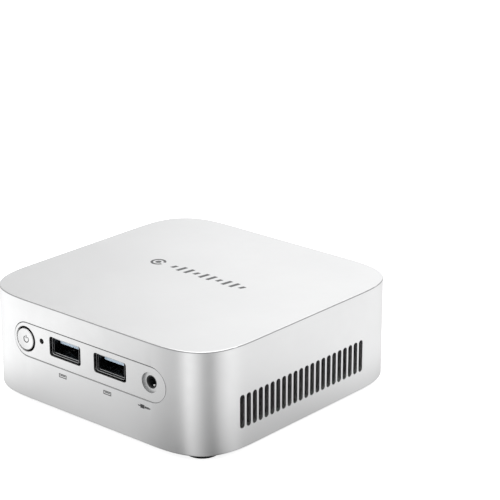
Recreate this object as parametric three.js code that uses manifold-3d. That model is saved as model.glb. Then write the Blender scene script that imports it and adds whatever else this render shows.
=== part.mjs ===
// A palm-sized desktop computer: an aluminium case with side vents, a front port panel with a power button,
// and a full set of rear ports. The board hangs near the top of the case, and the cooler, the fan and the
// rear connectors hang under it. Millimetres, +Z up, the front faces -Y. The origin is on the table, under
// the middle of the case.

import * as THREE from 'three';
import { mergeVertices } from 'three/addons/utils/BufferGeometryUtils.js';
import Module from 'manifold-3d';

const wasm = await Module();
wasm.setup();

// ---------------------------------------------------------------- driving dimensions

const CASE_WIDTH = 112;
const CASE_DEPTH = 109.5;
const CASE_TOP = 41;
const CASE_BOTTOM = 2.5;
const WALL = 2;
const CORNER = 28; // how far each soft corner runs along the sides
const CORNER_POWER = 3.1; // 2 would be a circular arc
const CORNER_STEPS = 8;
const EDGE_CHAMFER = 0.5;
const GAP = 0.1; // between pieces that touch

const COVER = { bottom: 3, top: 5, bossTop: 6.5, bossRadius: 4, play: 0.25 };
const FOOT = { x: 43.4, y: 42.4, radius: 6.3, bevel: 0.7, top: 3.4, recess: 3.5, play: 0.2 };

const VENT = { count: 22, firstY: -35.6, pitch: 3.088, width: 2.2, length: 12.4, z: 16.4 };
const INTAKE = { radius: 28, pitch: 5, width: 2.6, rib: 1.6 };

const PANEL = { x: 0.5, z: 25.7, width: 75, height: 12.9, recess: 0.2, play: 0.1, lip: 2, lipDepth: 1 };
const BUTTON = { x: -31.1, z: 25.65, radius: 4.05, hole: 4.85, proud: 0.3, flange: 5.8, flangeThick: 1 };
const STEM = { radius: 1.6, end: -46.4 };
const SWITCH = { front: -45.4, back: -41.8, half: 3.1, ears: 8.4, well: 1.8, wellDepth: 1.6, plunger: 1.5 };
const LIGHT = { x: -22.8, z: 26.9, hole: 1, radius: 0.88, setback: 0.4, pipeEnd: -47.4 };
const LAMP = { half: 1.05, thick: 1.2 };
const USB = { width: 13.2, height: 5.8, depth: 14, wall: 0.35, radius: 0.6 };
const FLARE = { width: 13.5, height: 6.5, depth: 0.4 }; // the bent-out rim of a USB shell's mouth
const TONGUE = { mouth: 2.6, thick: 1.84, drop: 0.45, width: 11.2, chamfer: 0.4, base: 4.5 };
const FRONT_USB = { x: [-10.9, 11.4], z: 26.6, setback: 0.4 };
const FRONT_USB_CUT = { z: 26.3, width: 15.65, height: 7.3, radius: 1 };
const AUDIO = { x: 30.5, z: 26.1, recessRadius: 3.7, recessDepth: 1, nozzle: 2.25, play: 0.15 };
const AUDIO_BODY = { halfWidth: 3.1, halfHeight: 2.8, gap: 0.4, back: -38, bore: 1.75, boreEnd: -39.5 };

const REAR_USB = { x: [-23.6, -12], z: 19.3, cutWidth: 7.1, cutHeight: 15.1, cutRadius: 0.8 };
const UPPER_VIDEO = { x: 6, z: 22, width: 15, height: 5.6, chamfer: 1.7, cutWidth: 15.8, cutHeight: 6.2 };
const LOWER_VIDEO = { x: 6.2, z: 8.5, width: 17, height: 5.6, chamfer: 1.7, cutWidth: 17.8, cutHeight: 6.2 };
const VIDEO = { depth: 11, wall: 0.35 };
const VIDEO_BASE = { width: 10.8, height: 4.2, depth: 3 };
const VIDEO_TONGUE = { width: 10, thick: 1.5, setback: 1.4 };
const VIDEO_HOUSING = { left: -2.6, right: 15, depth: 5 };
const ETHERNET = {
  x: 28.2, z: 19.1, width: 16, height: 13.4, depth: 21, wall: 0.4, face: 0.4, openPlay: 0.9,
};
const PLUG_BAY = { halfWidth: 6, below: 3.2, above: 4.2, depth: 13 };
const LATCH_BAY = { halfWidth: 3.2, below: 4.9, depth: 8, cutWidth: 5.4, cutHeight: 4 };
const POWER_JACK = { x: -36.7, z: 21.4, size: 9, depth: 13.3, setback: 1.4, hole: 3.5 };
const POWER_PIN = { bore: 3.2, boreDepth: 9, radius: 1.05, setback: 0.8 };
const LOCK_SLOT = { x: 27.2, z: 6.8, width: 7, height: 3, radius: 0.6 };

const BOARD = { bottom: 26, top: 27.6, inset: 1.3, clearance: 2.5 };
const FIXING = { x: 46, y: 26, bossRadius: 3.5, standoff: 2.8, thread: 1.2, play: 0.2, threadDepth: 7 };
const COVER_SCREW = { head: 2.7, headBottom: 3.2, shank: 1.25, top: 12.5, counterbore: 3.1, hole: 1.5 };
const CROSS = { share: 0.55, half: 0.35, depth: 0.9, rim: 0.4 }; // the recess in a screw's head
const SSD = { y: -3, half: 11, left: -39.8, right: 40.2, bottom: 30.4, top: 31.2, chip: 1.1, slack: 0.15 };
const SSD_SOCKET = { left: 36, right: 44, mouth: 40.5, over: 1.2 };
const SSD_SCREW = { foot: 2.6, shank: 1.3, head: 2.7, notch: 1.7 };
const MEMORY = { half: 33.8, front: 12.5, back: 43, bottom: 31, top: 32, slack: 0.15 };
const MEMORY_SOCKET = {
  over: 2.4, front: 39.5, back: 46, groove: 38, armFront: 14, armGap: 0.4, armWidth: 2,
};
const MEMORY_CHIP = { half: 5.5, front: 19, back: 29, height: 1 };
const RADIO = { x: -41.2, half: 10.9, front: -18, back: 12, bottom: 23.2, top: 24, slack: 0.15 };
const RADIO_CAN = { half: 7.5, front: -11, back: 4, height: 1.2 };
const COIN = { y: -27, holder: 11, radius: 10, holderTop: 1, height: 4.1 };
const ANTENNA = { x: 46, y: -3, halfWidth: 4, halfLength: 15, thick: 0.5, lead: 0.6 };

const COOLER_Y = -2;
const COOLER = { hole: 25, holeRadius: 1.5, head: 2.5, headBottom: 5.7, headTop: 7.4, shank: 1.2, top: 28.4 };
const CHIP = { halfWidth: 17, halfDepth: 12, paste: 0.25 };
const FAN = { size: 60, radius: 3, bottom: 5.6, top: 14.4, ring: 28, hub: 12, blades: 9, tip: 25.6 };
const FAN_BASE = { thick: 1.4, column: 4.4, strut: 2.4, counterbore: 2.9, seat: 7.5 };
const ROTOR = { bottom: 6.5, top: 12.5, roof: 1.1, wall: 1.2, shaftPlay: 0.3, shaftTop: 13.8 };
const BLADE = { z: 9.6, thick: 1, span: 9, lean: 0.75, untwist: 0.2, sweep: 5, flatten: 0.55, overlap: 0.5 };
const BEARING = { outer: 3, inner: 1.5, bottom: 8.6, top: 14.2 };
const STATOR = { outer: 9.6, inner: 4.5, bottom: 9, top: 12.3 };
const SINK = { width: 58, depth: 60, baseBottom: 21.9, baseTop: 24.3, fins: 14, finLength: 45, finThick: 1 };
const FIN_GAP = 0.6; // between the fan and the fins

const FRONT = -CASE_DEPTH / 2;
const REAR = CASE_DEPTH / 2;
const CUT_DEPTH = 6; // how far a wall opening's cutter reaches in from the outer face
const PANEL_FACE = FRONT + PANEL.recess;
const PANEL_BACK = FRONT + WALL + GAP + PANEL.lipDepth;
const REAR_MOUTH = REAR - WALL - 0.15;

// ---------------------------------------------------------------- materials

function finish(color, roughness, metalness) {
  return new THREE.MeshStandardMaterial({ color, roughness, metalness });
}

const silver = finish(0xd9dadc, 0.38, 0.85);
const darkPlastic = finish(0x24262a, 0.6, 0);
const blackPlastic = finish(0x0c0d0f, 0.45, 0);
const bluePlastic = finish(0x1d5f9e, 0.4, 0);
const rubber = finish(0x101010, 0.85, 0);
const steel = finish(0xb8babd, 0.3, 1);
const brass = finish(0xb6903c, 0.35, 1);
const blackenedSteel = finish(0x2a2b2d, 0.4, 1);
const boardGreen = finish(0x0f3d26, 0.5, 0);
const aluminium = finish(0xa9adb2, 0.4, 1);
const clearPlastic = finish(0x30363c, 0.15, 0);

// ---------------------------------------------------------------- solids

function toSolid(geometry) {
  const bare = geometry.clone();
  bare.deleteAttribute('normal');
  bare.deleteAttribute('uv');
  const merged = mergeVertices(bare, 1e-4);
  const vertProperties = merged.attributes.position.array;
  const triVerts = new Uint32Array(merged.index.array);
  return new wasm.Manifold(new wasm.Mesh({ numProp: 3, vertProperties, triVerts }));
}

function toGeometry(solid) {
  const mesh = solid.getMesh();
  const geometry = new THREE.BufferGeometry();
  geometry.setAttribute('position', new THREE.BufferAttribute(mesh.vertProperties, 3));
  geometry.setIndex(new THREE.BufferAttribute(mesh.triVerts, 1));
  geometry.computeVertexNormals();
  return geometry;
}

function join(first, ...others) {
  return others.reduce((sum, other) => sum.add(other), first);
}

function cut(first, ...others) {
  return others.reduce((rest, other) => rest.subtract(other), first);
}

// Extrudes a shape drawn in X and Y from z0 up to z1.
function upward(shape, z0, z1, segments = 2) {
  const options = { depth: z1 - z0, bevelEnabled: false, curveSegments: segments };
  return toSolid(new THREE.ExtrudeGeometry(shape, options).translate(0, 0, z0));
}

// Extrudes a shape drawn in X and Z from y0 back to y1.
function backward(shape, y0, y1, segments = 2) {
  const options = { depth: y1 - y0, bevelEnabled: false, curveSegments: segments };
  return toSolid(new THREE.ExtrudeGeometry(shape, options).rotateX(Math.PI / 2).translate(0, y1, 0));
}

// Extrudes a shape drawn in Y and Z from x0 across to x1.
function across(shape, x0, x1, segments = 2) {
  const options = { depth: x1 - x0, bevelEnabled: false, curveSegments: segments };
  const geometry = new THREE.ExtrudeGeometry(shape, options);
  return toSolid(geometry.rotateX(Math.PI / 2).rotateZ(Math.PI / 2).translate(x0, 0, 0));
}

function block(x0, x1, y0, y1, z0, z1) {
  const geometry = new THREE.BoxGeometry(x1 - x0, y1 - y0, z1 - z0);
  return toSolid(geometry.translate((x0 + x1) / 2, (y0 + y1) / 2, (z0 + z1) / 2));
}

// A turned piece on a vertical axis. The profile lists [radius, z] and runs from the axis back to the axis.
function turned(x, y, profile, segments = 12) {
  const points = profile.map(([radius, z]) => new THREE.Vector2(radius, z));
  return toSolid(new THREE.LatheGeometry(points, segments).rotateX(Math.PI / 2).translate(x, y, 0));
}

function rod(x, y, radius, z0, z1, segments = 12) {
  return turned(x, y, [[0, z0], [radius, z0], [radius, z1], [0, z1]], segments);
}

// A rod that lies along Y.
function pin(x, z, radius, y0, y1, segments = 20) {
  const geometry = new THREE.CylinderGeometry(radius, radius, y1 - y0, segments);
  return toSolid(geometry.translate(x, (y0 + y1) / 2, z));
}

// ---------------------------------------------------------------- outlines

// The case's plan outline, a rectangle with superelliptic corners, drawn a distance inside the outer face.
function caseOutline(inset) {
  const reach = CORNER - inset;
  const points = [];
  for (const [sideX, sideY, back] of [[1, 1, false], [-1, 1, true], [-1, -1, false], [1, -1, true]]) {
    for (let i = 0; i <= CORNER_STEPS; i++) {
      const angle = ((back ? CORNER_STEPS - i : i) / CORNER_STEPS) * (Math.PI / 2);
      const along = reach * Math.cos(angle) ** (2 / CORNER_POWER);
      const up = reach * Math.sin(angle) ** (2 / CORNER_POWER);
      const x = CASE_WIDTH / 2 - CORNER + along;
      const y = CASE_DEPTH / 2 - CORNER + up;
      points.push(new THREE.Vector2(sideX * x, sideY * y));
    }
  }
  return new THREE.Shape(points);
}

function roundedRect(cx, cy, width, height, radius) {
  const shape = new THREE.Shape();
  const x = width / 2 - radius;
  const y = height / 2 - radius;
  shape.absarc(cx + x, cy + y, radius, 0, Math.PI / 2);
  shape.absarc(cx - x, cy + y, radius, Math.PI / 2, Math.PI);
  shape.absarc(cx - x, cy - y, radius, Math.PI, Math.PI * 1.5);
  shape.absarc(cx + x, cy - y, radius, Math.PI * 1.5, Math.PI * 2);
  return shape;
}

function polygon(points) {
  return new THREE.Shape(points.map(([x, y]) => new THREE.Vector2(x, y)));
}

function rect(cx, cy, width, height) {
  const x = width / 2;
  const y = height / 2;
  return polygon([[cx - x, cy - y], [cx + x, cy - y], [cx + x, cy + y], [cx - x, cy + y]]);
}

// A video connector's outline. Its upper corners are cut off: the left one always, the right one if asked.
function videoOutline(port, width, height, bothCorners) {
  const x = width / 2;
  const z = height / 2;
  const c = port.chamfer;
  const right = bothCorners ? [[x, z - c], [x - c, z]] : [[x, z]];
  const points = [[-x, -z], [x, -z], ...right, [-x + c, z], [-x, z - c]];
  return polygon(points.map(([px, pz]) => [port.x + px, port.z + pz]));
}

// ---------------------------------------------------------------- case

function caseBlank() {
  const body = CASE_TOP - CASE_BOTTOM - 2 * EDGE_CHAMFER;
  const options = {
    depth: body,
    bevelSize: EDGE_CHAMFER,
    bevelThickness: EDGE_CHAMFER,
    bevelOffset: -EDGE_CHAMFER,
    bevelSegments: 1,
  };
  const geometry = new THREE.ExtrudeGeometry(caseOutline(0), options);
  return toSolid(geometry.translate(0, 0, CASE_BOTTOM + EDGE_CHAMFER));
}

function ventCutters() {
  const slots = [];
  for (let i = 0; i < VENT.count; i++) {
    const slot = roundedRect(VENT.firstY + i * VENT.pitch, VENT.z, VENT.width, VENT.length, VENT.width / 2);
    slots.push(across(slot, -CASE_WIDTH, CASE_WIDTH, 1));
  }
  return slots;
}

function ethernetOpening() {
  const { x, z, width, height, openPlay } = ETHERNET;
  const main = rect(x, z, width + openPlay, height + openPlay);
  const latch = rect(x, z - height / 2, LATCH_BAY.cutWidth, LATCH_BAY.cutHeight);
  return join(backward(main, REAR - CUT_DEPTH, REAR + 1), backward(latch, REAR - CUT_DEPTH, REAR + 1));
}

function rearCutters() {
  const near = REAR - CUT_DEPTH;
  const far = REAR + 1;
  const lock = roundedRect(LOCK_SLOT.x, LOCK_SLOT.z, LOCK_SLOT.width, LOCK_SLOT.height, LOCK_SLOT.radius);
  const { z, cutWidth, cutHeight, cutRadius } = REAR_USB;
  const usbOutlines = REAR_USB.x.map((x) => roundedRect(x, z, cutWidth, cutHeight, cutRadius));
  const usb = usbOutlines.map((outline) => backward(outline, near, far, 1));
  return [
    ...usb,
    backward(videoOutline(UPPER_VIDEO, UPPER_VIDEO.cutWidth, UPPER_VIDEO.cutHeight, true), near, far),
    backward(videoOutline(LOWER_VIDEO, LOWER_VIDEO.cutWidth, LOWER_VIDEO.cutHeight, false), near, far),
    backward(lock, near, far, 1),
    pin(POWER_JACK.x, POWER_JACK.z, POWER_JACK.hole, near, far, 24),
    ethernetOpening(),
  ];
}

function corners(halfX, halfY, centreY = 0) {
  return [[-halfX, -halfY], [halfX, -halfY], [-halfX, halfY], [halfX, halfY]]
    .map(([x, y]) => [x, y + centreY]);
}

// A post under the top face that a board standoff screws into.
function boardBoss(x, y) {
  const post = rod(x, y, FIXING.bossRadius, BOARD.top + GAP, CASE_TOP - WALL + 0.5);
  return cut(post, rod(x, y, FIXING.thread + FIXING.play, BOARD.top, BOARD.top + 5));
}

// The flat seat behind the front wall, where the port panel's lip lies.
function lipPocket() {
  const spread = 2 * (PANEL.lip + 0.2);
  const width = PANEL.width + spread;
  const height = PANEL.height + spread;
  const seat = roundedRect(PANEL.x, PANEL.z, width, height, height / 2);
  return backward(seat, FRONT + WALL, FRONT + CUT_DEPTH, 4);
}

function topShell() {
  const hollow = upward(caseOutline(WALL), CASE_BOTTOM - 1, CASE_TOP - WALL);
  const panelHole = roundedRect(PANEL.x, PANEL.z, PANEL.width, PANEL.height, PANEL.height / 2);
  const panelOpening = join(backward(panelHole, FRONT - 1, FRONT + CUT_DEPTH, 4), lipPocket());
  const openings = [panelOpening, ...rearCutters(), ...ventCutters()];
  const shell = cut(caseBlank(), hollow, ...openings);
  return join(shell, ...corners(FIXING.x, FIXING.y).map(([x, y]) => boardBoss(x, y)));
}

// Air holes under the fan: rows of slots that together fill a circle, with a rib down the middle.
function intakeCutters() {
  const slots = [];
  const rows = Math.floor(INTAKE.radius / INTAKE.pitch);
  for (let row = -rows; row <= rows; row++) {
    const y = row * INTAKE.pitch;
    const reach = Math.sqrt(INTAKE.radius ** 2 - y ** 2);
    const length = reach - INTAKE.rib;
    for (const side of [-1, 1]) {
      const x = side * (INTAKE.rib + length / 2);
      const slot = roundedRect(x, COOLER_Y + y, length, INTAKE.width, INTAKE.width / 2);
      slots.push(upward(slot, COVER.bottom - 1, COVER.top + 1, 1));
    }
  }
  return slots;
}

function bottomCover() {
  const plate = upward(caseOutline(WALL + COVER.play), COVER.bottom, COVER.top);
  const fixings = corners(FIXING.x, FIXING.y);
  const bosses = fixings.map(([x, y]) => rod(x, y, COVER.bossRadius, COVER.top - 0.5, COVER.bossTop));
  const heads = fixings.map(([x, y]) => rod(x, y, COVER_SCREW.counterbore, COVER.bottom - 1, COVER.top, 16));
  const holes = fixings.map(([x, y]) => rod(x, y, COVER_SCREW.hole, COVER.bottom, COVER.bossTop + 1));
  const feet = corners(FOOT.x, FOOT.y).map(([x, y]) =>
    rod(x, y, FOOT.radius + FOOT.play, COVER.bottom - 1, FOOT.recess, 20));
  return cut(join(plate, ...bosses), ...heads, ...holes, ...feet, ...intakeCutters());
}

function foot(x, y) {
  const { radius, bevel, top } = FOOT;
  return turned(x, y, [[0, 0], [radius - bevel, 0], [radius, bevel], [radius, top], [0, top]], 20);
}

// A pan-head screw that stands on its head, with a cross recess in it.
function screw(x, y, headRadius, headBottom, headTop, shankRadius, shankTop) {
  const profile = [
    [0, headBottom],
    [headRadius - CROSS.rim, headBottom],
    [headRadius, headBottom + CROSS.rim],
    [headRadius, headTop],
    [shankRadius, headTop],
    [shankRadius, shankTop],
    [0, shankTop],
  ];
  const arm = headRadius * CROSS.share;
  const bars = [[arm, CROSS.half], [CROSS.half, arm]].map(([halfX, halfY]) =>
    block(x - halfX, x + halfX, y - halfY, y + halfY, headBottom - 1, headBottom + CROSS.depth));
  return cut(turned(x, y, profile), ...bars);
}

// A hex standoff. Its stud goes up through the board, and the cover's screw goes into it from below.
function standoff(x, y) {
  const bottom = COVER.bossTop + GAP;
  const body = rod(x, y, FIXING.standoff, bottom, BOARD.bottom - GAP, 6);
  const stud = rod(x, y, FIXING.thread, BOARD.bottom - 1, BOARD.top + 4);
  const thread = rod(x, y, FIXING.thread + FIXING.play, bottom - 1, bottom + FIXING.threadDepth);
  return cut(join(body, stud), thread);
}

// ---------------------------------------------------------------- front panel

function portPanel() {
  const width = PANEL.width - 2 * PANEL.play;
  const height = PANEL.height - 2 * PANEL.play;
  const round = height / 2;
  const spread = 2 * PANEL.lip;
  const lip = roundedRect(PANEL.x, PANEL.z, width + spread, height + spread, round + PANEL.lip);
  const face = roundedRect(PANEL.x, PANEL.z, width, height, round);
  const seat = PANEL_BACK - PANEL.lipDepth;
  const plate = join(backward(face, PANEL_FACE, seat + GAP, 4), backward(lip, seat, PANEL_BACK, 4));
  const front = FRONT - 1;
  const back = PANEL_BACK + 1;
  const { z, width: cutWidth, height: cutHeight, radius } = FRONT_USB_CUT;
  const usbOutlines = FRONT_USB.x.map((x) => roundedRect(x, z, cutWidth, cutHeight, radius));
  const usb = usbOutlines.map((outline) => backward(outline, front, back, 1));
  return cut(
    plate,
    ...usb,
    pin(BUTTON.x, BUTTON.z, BUTTON.hole, front, back, 32),
    pin(LIGHT.x, LIGHT.z, LIGHT.hole, front, back, 12),
    pin(AUDIO.x, AUDIO.z, AUDIO.recessRadius, front, PANEL_FACE + AUDIO.recessDepth, 32),
    pin(AUDIO.x, AUDIO.z, AUDIO.nozzle + AUDIO.play, front, back, 20),
  );
}

function powerButton() {
  const { x, z } = BUTTON;
  const flangeFront = PANEL_BACK + 0.3;
  const flangeBack = flangeFront + BUTTON.flangeThick;
  const cap = pin(x, z, BUTTON.radius, PANEL_FACE - BUTTON.proud, flangeBack, 32);
  const flange = pin(x, z, BUTTON.flange, flangeFront, flangeBack, 24);
  return join(cap, flange, pin(x, z, STEM.radius, flangeFront, STEM.end, 12));
}

function switchBody() {
  const { x, z } = BUTTON;
  const { front, back, half, ears, well, wellDepth } = SWITCH;
  const body = block(x - half, x + half, front, back, z - half, z + half);
  const tabs = block(x - ears, x + ears, back - 2, back, BOARD.top + GAP, BOARD.top + 0.9);
  return cut(join(body, tabs), pin(x, z, well, front - 1, front + wellDepth, 16));
}

function switchPlunger() {
  return pin(BUTTON.x, BUTTON.z, SWITCH.plunger, STEM.end + GAP, SWITCH.front + 0.5, 16);
}

function lightPipe() {
  return pin(LIGHT.x, LIGHT.z, LIGHT.radius, PANEL_FACE + LIGHT.setback, LIGHT.pipeEnd, 12);
}

function statusLight() {
  const { x, z, pipeEnd } = LIGHT;
  const { half, thick } = LAMP;
  const front = pipeEnd + GAP;
  return block(x - half, x + half, front, front + thick, z - half, z + half);
}

// ---------------------------------------------------------------- connectors

// A USB-A socket on the Y axis at (0, 0), mouth at y = 0, facing -Y, with its tongue in the upper half.
function usbShell() {
  const { width, height, depth, wall, radius } = USB;
  const outer = backward(roundedRect(0, 0, width, height, radius), 0, depth, 1);
  const flare = backward(roundedRect(0, 0, FLARE.width, FLARE.height, radius), 0, FLARE.depth, 1);
  const inner = roundedRect(0, 0, width - 2 * wall, height - 2 * wall, radius / 3);
  return cut(join(outer, flare), backward(inner, -1, depth + 1, 1));
}

function usbInsert() {
  const halfWidth = USB.width / 2 - USB.wall - GAP;
  const halfHeight = USB.height / 2 - USB.wall - GAP;
  const { mouth, thick, drop, width, chamfer, base } = TONGUE;
  const top = USB.height / 2 - USB.wall - drop;
  const back = block(-halfWidth, halfWidth, USB.depth - base, USB.depth - 2 * GAP, -halfHeight, halfHeight);
  const end = USB.depth - base + 0.5;
  const section = polygon([
    [mouth, top - chamfer],
    [mouth, top - thick + chamfer],
    [mouth + chamfer, top - thick],
    [end, top - thick],
    [end, top],
    [mouth + chamfer, top],
  ]);
  return join(back, across(section, -width / 2, width / 2));
}

function videoShell(port, bothCorners) {
  const thin = 2 * VIDEO.wall;
  const outer = videoOutline(port, port.width, port.height, bothCorners);
  const inner = videoOutline(port, port.width - thin, port.height - thin, bothCorners);
  const y0 = REAR_MOUTH - VIDEO.depth;
  return cut(backward(outer, y0, REAR_MOUTH), backward(inner, y0 - 1, REAR_MOUTH + 1));
}

// A bar across a video socket, between two places along Y.
function videoBar(port, width, height, y0, y1) {
  return block(port.x - width / 2, port.x + width / 2, y0, y1, port.z - height / 2, port.z + height / 2);
}

function videoInsert(port) {
  const y0 = REAR_MOUTH - VIDEO.depth;
  const baseEnd = y0 + VIDEO_BASE.depth;
  const base = videoBar(port, VIDEO_BASE.width, VIDEO_BASE.height, y0 + 2 * GAP, baseEnd);
  const { width, thick, setback } = VIDEO_TONGUE;
  return join(base, videoBar(port, width, thick, baseEnd - 1, REAR_MOUTH - setback));
}

// The housing that stacks the two video sockets under the board.
function videoHousing() {
  const { left, right, depth } = VIDEO_HOUSING;
  const y0 = REAR_MOUTH - VIDEO.depth;
  const bottom = LOWER_VIDEO.z - LOWER_VIDEO.height / 2;
  const back = block(left, right, y0 - depth, y0 - GAP, bottom, BOARD.bottom - GAP);
  const shelfBottom = LOWER_VIDEO.z + LOWER_VIDEO.height / 2 + GAP;
  const shelfTop = UPPER_VIDEO.z - UPPER_VIDEO.height / 2 - GAP;
  return join(back, block(left, right, y0 - 1, REAR_MOUTH - 0.5, shelfBottom, shelfTop));
}

// The network socket's shell, a box that is open at the rear. With an inset it is the box's inside.
function ethernetBox(inset, y0, y1) {
  const halfWidth = ETHERNET.width / 2 - inset;
  const halfHeight = ETHERNET.height / 2 - inset;
  const { x, z } = ETHERNET;
  return block(x - halfWidth, x + halfWidth, y0, y1, z - halfHeight, z + halfHeight);
}

function ethernetShell() {
  const y0 = REAR_MOUTH - ETHERNET.depth;
  return cut(ethernetBox(0, y0, REAR_MOUTH), ethernetBox(ETHERNET.wall, y0 + 1, REAR_MOUTH + 1));
}

function ethernetInsert() {
  const { x, z, depth, wall } = ETHERNET;
  const face = REAR_MOUTH - ETHERNET.face;
  const out = face + 1;
  const body = ethernetBox(wall + GAP, REAR_MOUTH - depth + 1 + GAP, face);
  const { halfWidth, below, above } = PLUG_BAY;
  const plug = block(x - halfWidth, x + halfWidth, face - PLUG_BAY.depth, out, z - below, z + above);
  const latchHalf = LATCH_BAY.halfWidth;
  const latch = block(x - latchHalf, x + latchHalf, face - LATCH_BAY.depth, out, z - LATCH_BAY.below, z);
  return cut(body, plug, latch);
}

function powerJack() {
  const { x, z, size, depth, setback } = POWER_JACK;
  const back = REAR - WALL - setback;
  const body = block(x - size / 2, x + size / 2, back - depth, back, z - size / 2, z + size / 2);
  return cut(body, pin(x, z, POWER_PIN.bore, back - POWER_PIN.boreDepth, back + 1, 20));
}

function powerJackPin() {
  const { x, z, setback } = POWER_JACK;
  const back = REAR - WALL - setback;
  const end = back - POWER_PIN.boreDepth + GAP;
  return pin(x, z, POWER_PIN.radius, end, back - POWER_PIN.setback, 12);
}

function audioJack() {
  const { x, z } = AUDIO;
  const { halfWidth, halfHeight, gap, back, bore, boreEnd } = AUDIO_BODY;
  const front = PANEL_FACE + AUDIO.recessDepth + GAP;
  const bodyFront = PANEL_BACK + gap;
  const nozzle = pin(x, z, AUDIO.nozzle, front, bodyFront + 1, 20);
  const body = block(x - halfWidth, x + halfWidth, bodyFront, back, z - halfHeight, z + halfHeight);
  return cut(join(nozzle, body), pin(x, z, bore, front - 1, boreEnd, 16));
}

// ---------------------------------------------------------------- board and what it carries

// The board. The front connectors and the power switch sit in notches in its front edge, and shallow steps
// there keep it clear of the port panel's lip and of the button's flange.
function mainBoard() {
  const front = FRONT + WALL + BOARD.inset;
  const under = BOARD.bottom - 1;
  const over = BOARD.top + 1;
  const plate = upward(caseOutline(WALL + BOARD.inset), BOARD.bottom, BOARD.top);
  const hole = (x, y, radius) => rod(x, y, radius, under, over);
  const notch = (x, half, end) => block(x - half, x + half, front - 1, end, under, over);
  const step = FRONT + WALL + BOARD.clearance;
  return cut(
    plate,
    ...FRONT_USB.x.map((x) => notch(x, USB.width / 2 + 0.3, PANEL_FACE + FRONT_USB.setback + USB.depth + 0.3)),
    notch(BUTTON.x, BUTTON.flange + 0.3, SWITCH.back + 0.2),
    notch(BUTTON.x, SWITCH.ears + 0.6, step),
    notch(LIGHT.x, LAMP.half + 0.35, LIGHT.pipeEnd + LAMP.thick + 0.2),
    notch(AUDIO.x, AUDIO_BODY.halfWidth + 0.3, AUDIO_BODY.back + 0.3),
    notch(AUDIO.x, AUDIO.recessRadius * 2, step),
    ...corners(FIXING.x, FIXING.y).map(([x, y]) => hole(x, y, FIXING.thread + FIXING.play)),
    ...corners(COOLER.hole, COOLER.hole, COOLER_Y).map(([x, y]) => hole(x, y, COOLER.holeRadius)),
  );
}

function ssdModule() {
  const { y, half, left, right, bottom, top, chip } = SSD;
  const card = block(left, right, y - half, y + half, bottom, top);
  const chips = [[-28, 9], [-11, 9], [6, 9], [24, 5]].map(([x, size]) =>
    block(x - size * 0.8, x + size * 0.8, y - size, y + size, top - GAP, top + chip));
  return cut(join(card, ...chips), rod(left, y, SSD_SCREW.notch, bottom - 1, top + 1));
}

function ssdSocket() {
  const { y, half, bottom, top, slack } = SSD;
  const { left, right, mouth, over } = SSD_SOCKET;
  const cheek = half + 0.6;
  const body = block(left, right, y - cheek, y + cheek, BOARD.top + GAP, top + over);
  const slot = half + 0.2;
  return cut(body, block(left - 1, mouth, y - slot, y + slot, bottom - slack, top + slack));
}

function ssdScrew() {
  const { left, y, bottom, top } = SSD;
  const { foot, shank, head } = SSD_SCREW;
  return turned(left, y, [
    [0, BOARD.top + GAP],
    [foot, BOARD.top + GAP],
    [foot, bottom - GAP],
    [shank, bottom - GAP],
    [shank, top + GAP],
    [head, top + GAP],
    [head, top + 1],
    [0, top + 1],
  ]);
}

function memoryModule() {
  const { half, front, back, bottom, top } = MEMORY;
  const card = block(-half, half, front, back, bottom, top);
  const chips = [-25, -10, 10, 25].map((x) => {
    const { half: reach, front: near, back: far, height } = MEMORY_CHIP;
    return block(x - reach, x + reach, near, far, top - GAP, top + height);
  });
  return join(card, ...chips);
}

function memorySocket() {
  const { half, bottom, top, slack } = MEMORY;
  const { over, front, back, groove, armFront, armGap, armWidth } = MEMORY_SOCKET;
  const outer = half + over;
  const bar = block(-outer, outer, front, back, BOARD.top + GAP, top + 1);
  const arms = [-1, 1].map((side) => {
    const x0 = side < 0 ? -half - armGap - armWidth : half + armGap;
    return block(x0, x0 + armWidth, armFront, front + 0.5, BOARD.top + GAP, top + 1);
  });
  const slot = block(-half - slack, half + slack, groove, MEMORY.back + 0.2, bottom - slack, top + slack);
  return cut(join(bar, ...arms), slot);
}

function radioCard() {
  const { x, half, front, back, bottom, top } = RADIO;
  const card = block(x - half, x + half, front, back, bottom, top);
  const can = RADIO_CAN;
  return join(card, block(x - can.half, x + can.half, can.front, can.back, bottom - can.height, bottom + GAP));
}

function radioSocket() {
  const { x, half, back, bottom, top, slack } = RADIO;
  const body = block(x - half, x + half, back - 3, back + 5, bottom - 1, BOARD.bottom - GAP);
  const out = half + 1;
  return cut(body, block(x - out, x + out, back - 4, back + 0.2, bottom - slack, top + slack));
}

function coinCell() {
  const { y, holder, radius, holderTop, height } = COIN;
  const tray = rod(0, y, holder, BOARD.top + GAP, BOARD.top + holderTop, 24);
  return join(tray, rod(0, y, radius, BOARD.top + holderTop - GAP, BOARD.top + height, 24));
}

// A film aerial on the cover's inner side, with its thin coaxial lead up to the radio card.
function antenna(x, y, route) {
  const { halfWidth, halfLength, thick, lead } = ANTENNA;
  const low = COVER.top + GAP;
  const film = block(x - halfWidth, x + halfWidth, y - halfLength, y + halfLength, low, low + thick);
  const curve = new THREE.CatmullRomCurve3(route.map((point) => new THREE.Vector3(...point)));
  const section = new THREE.Shape();
  section.absarc(0, 0, lead, 0, Math.PI * 2);
  const steps = Math.ceil(curve.getLength() / 4);
  const options = { steps, extrudePath: curve, curveSegments: 4 };
  return join(film, toSolid(new THREE.ExtrudeGeometry(section, options)));
}

// ---------------------------------------------------------------- cooler

const COOLER_HOLES = corners(COOLER.hole, COOLER.hole, COOLER_Y);

function processor() {
  const { halfWidth, halfDepth, paste } = CHIP;
  const bottom = SINK.baseTop + paste;
  return block(-halfWidth, halfWidth, COOLER_Y - halfDepth, COOLER_Y + halfDepth, bottom, BOARD.bottom - GAP);
}

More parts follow.
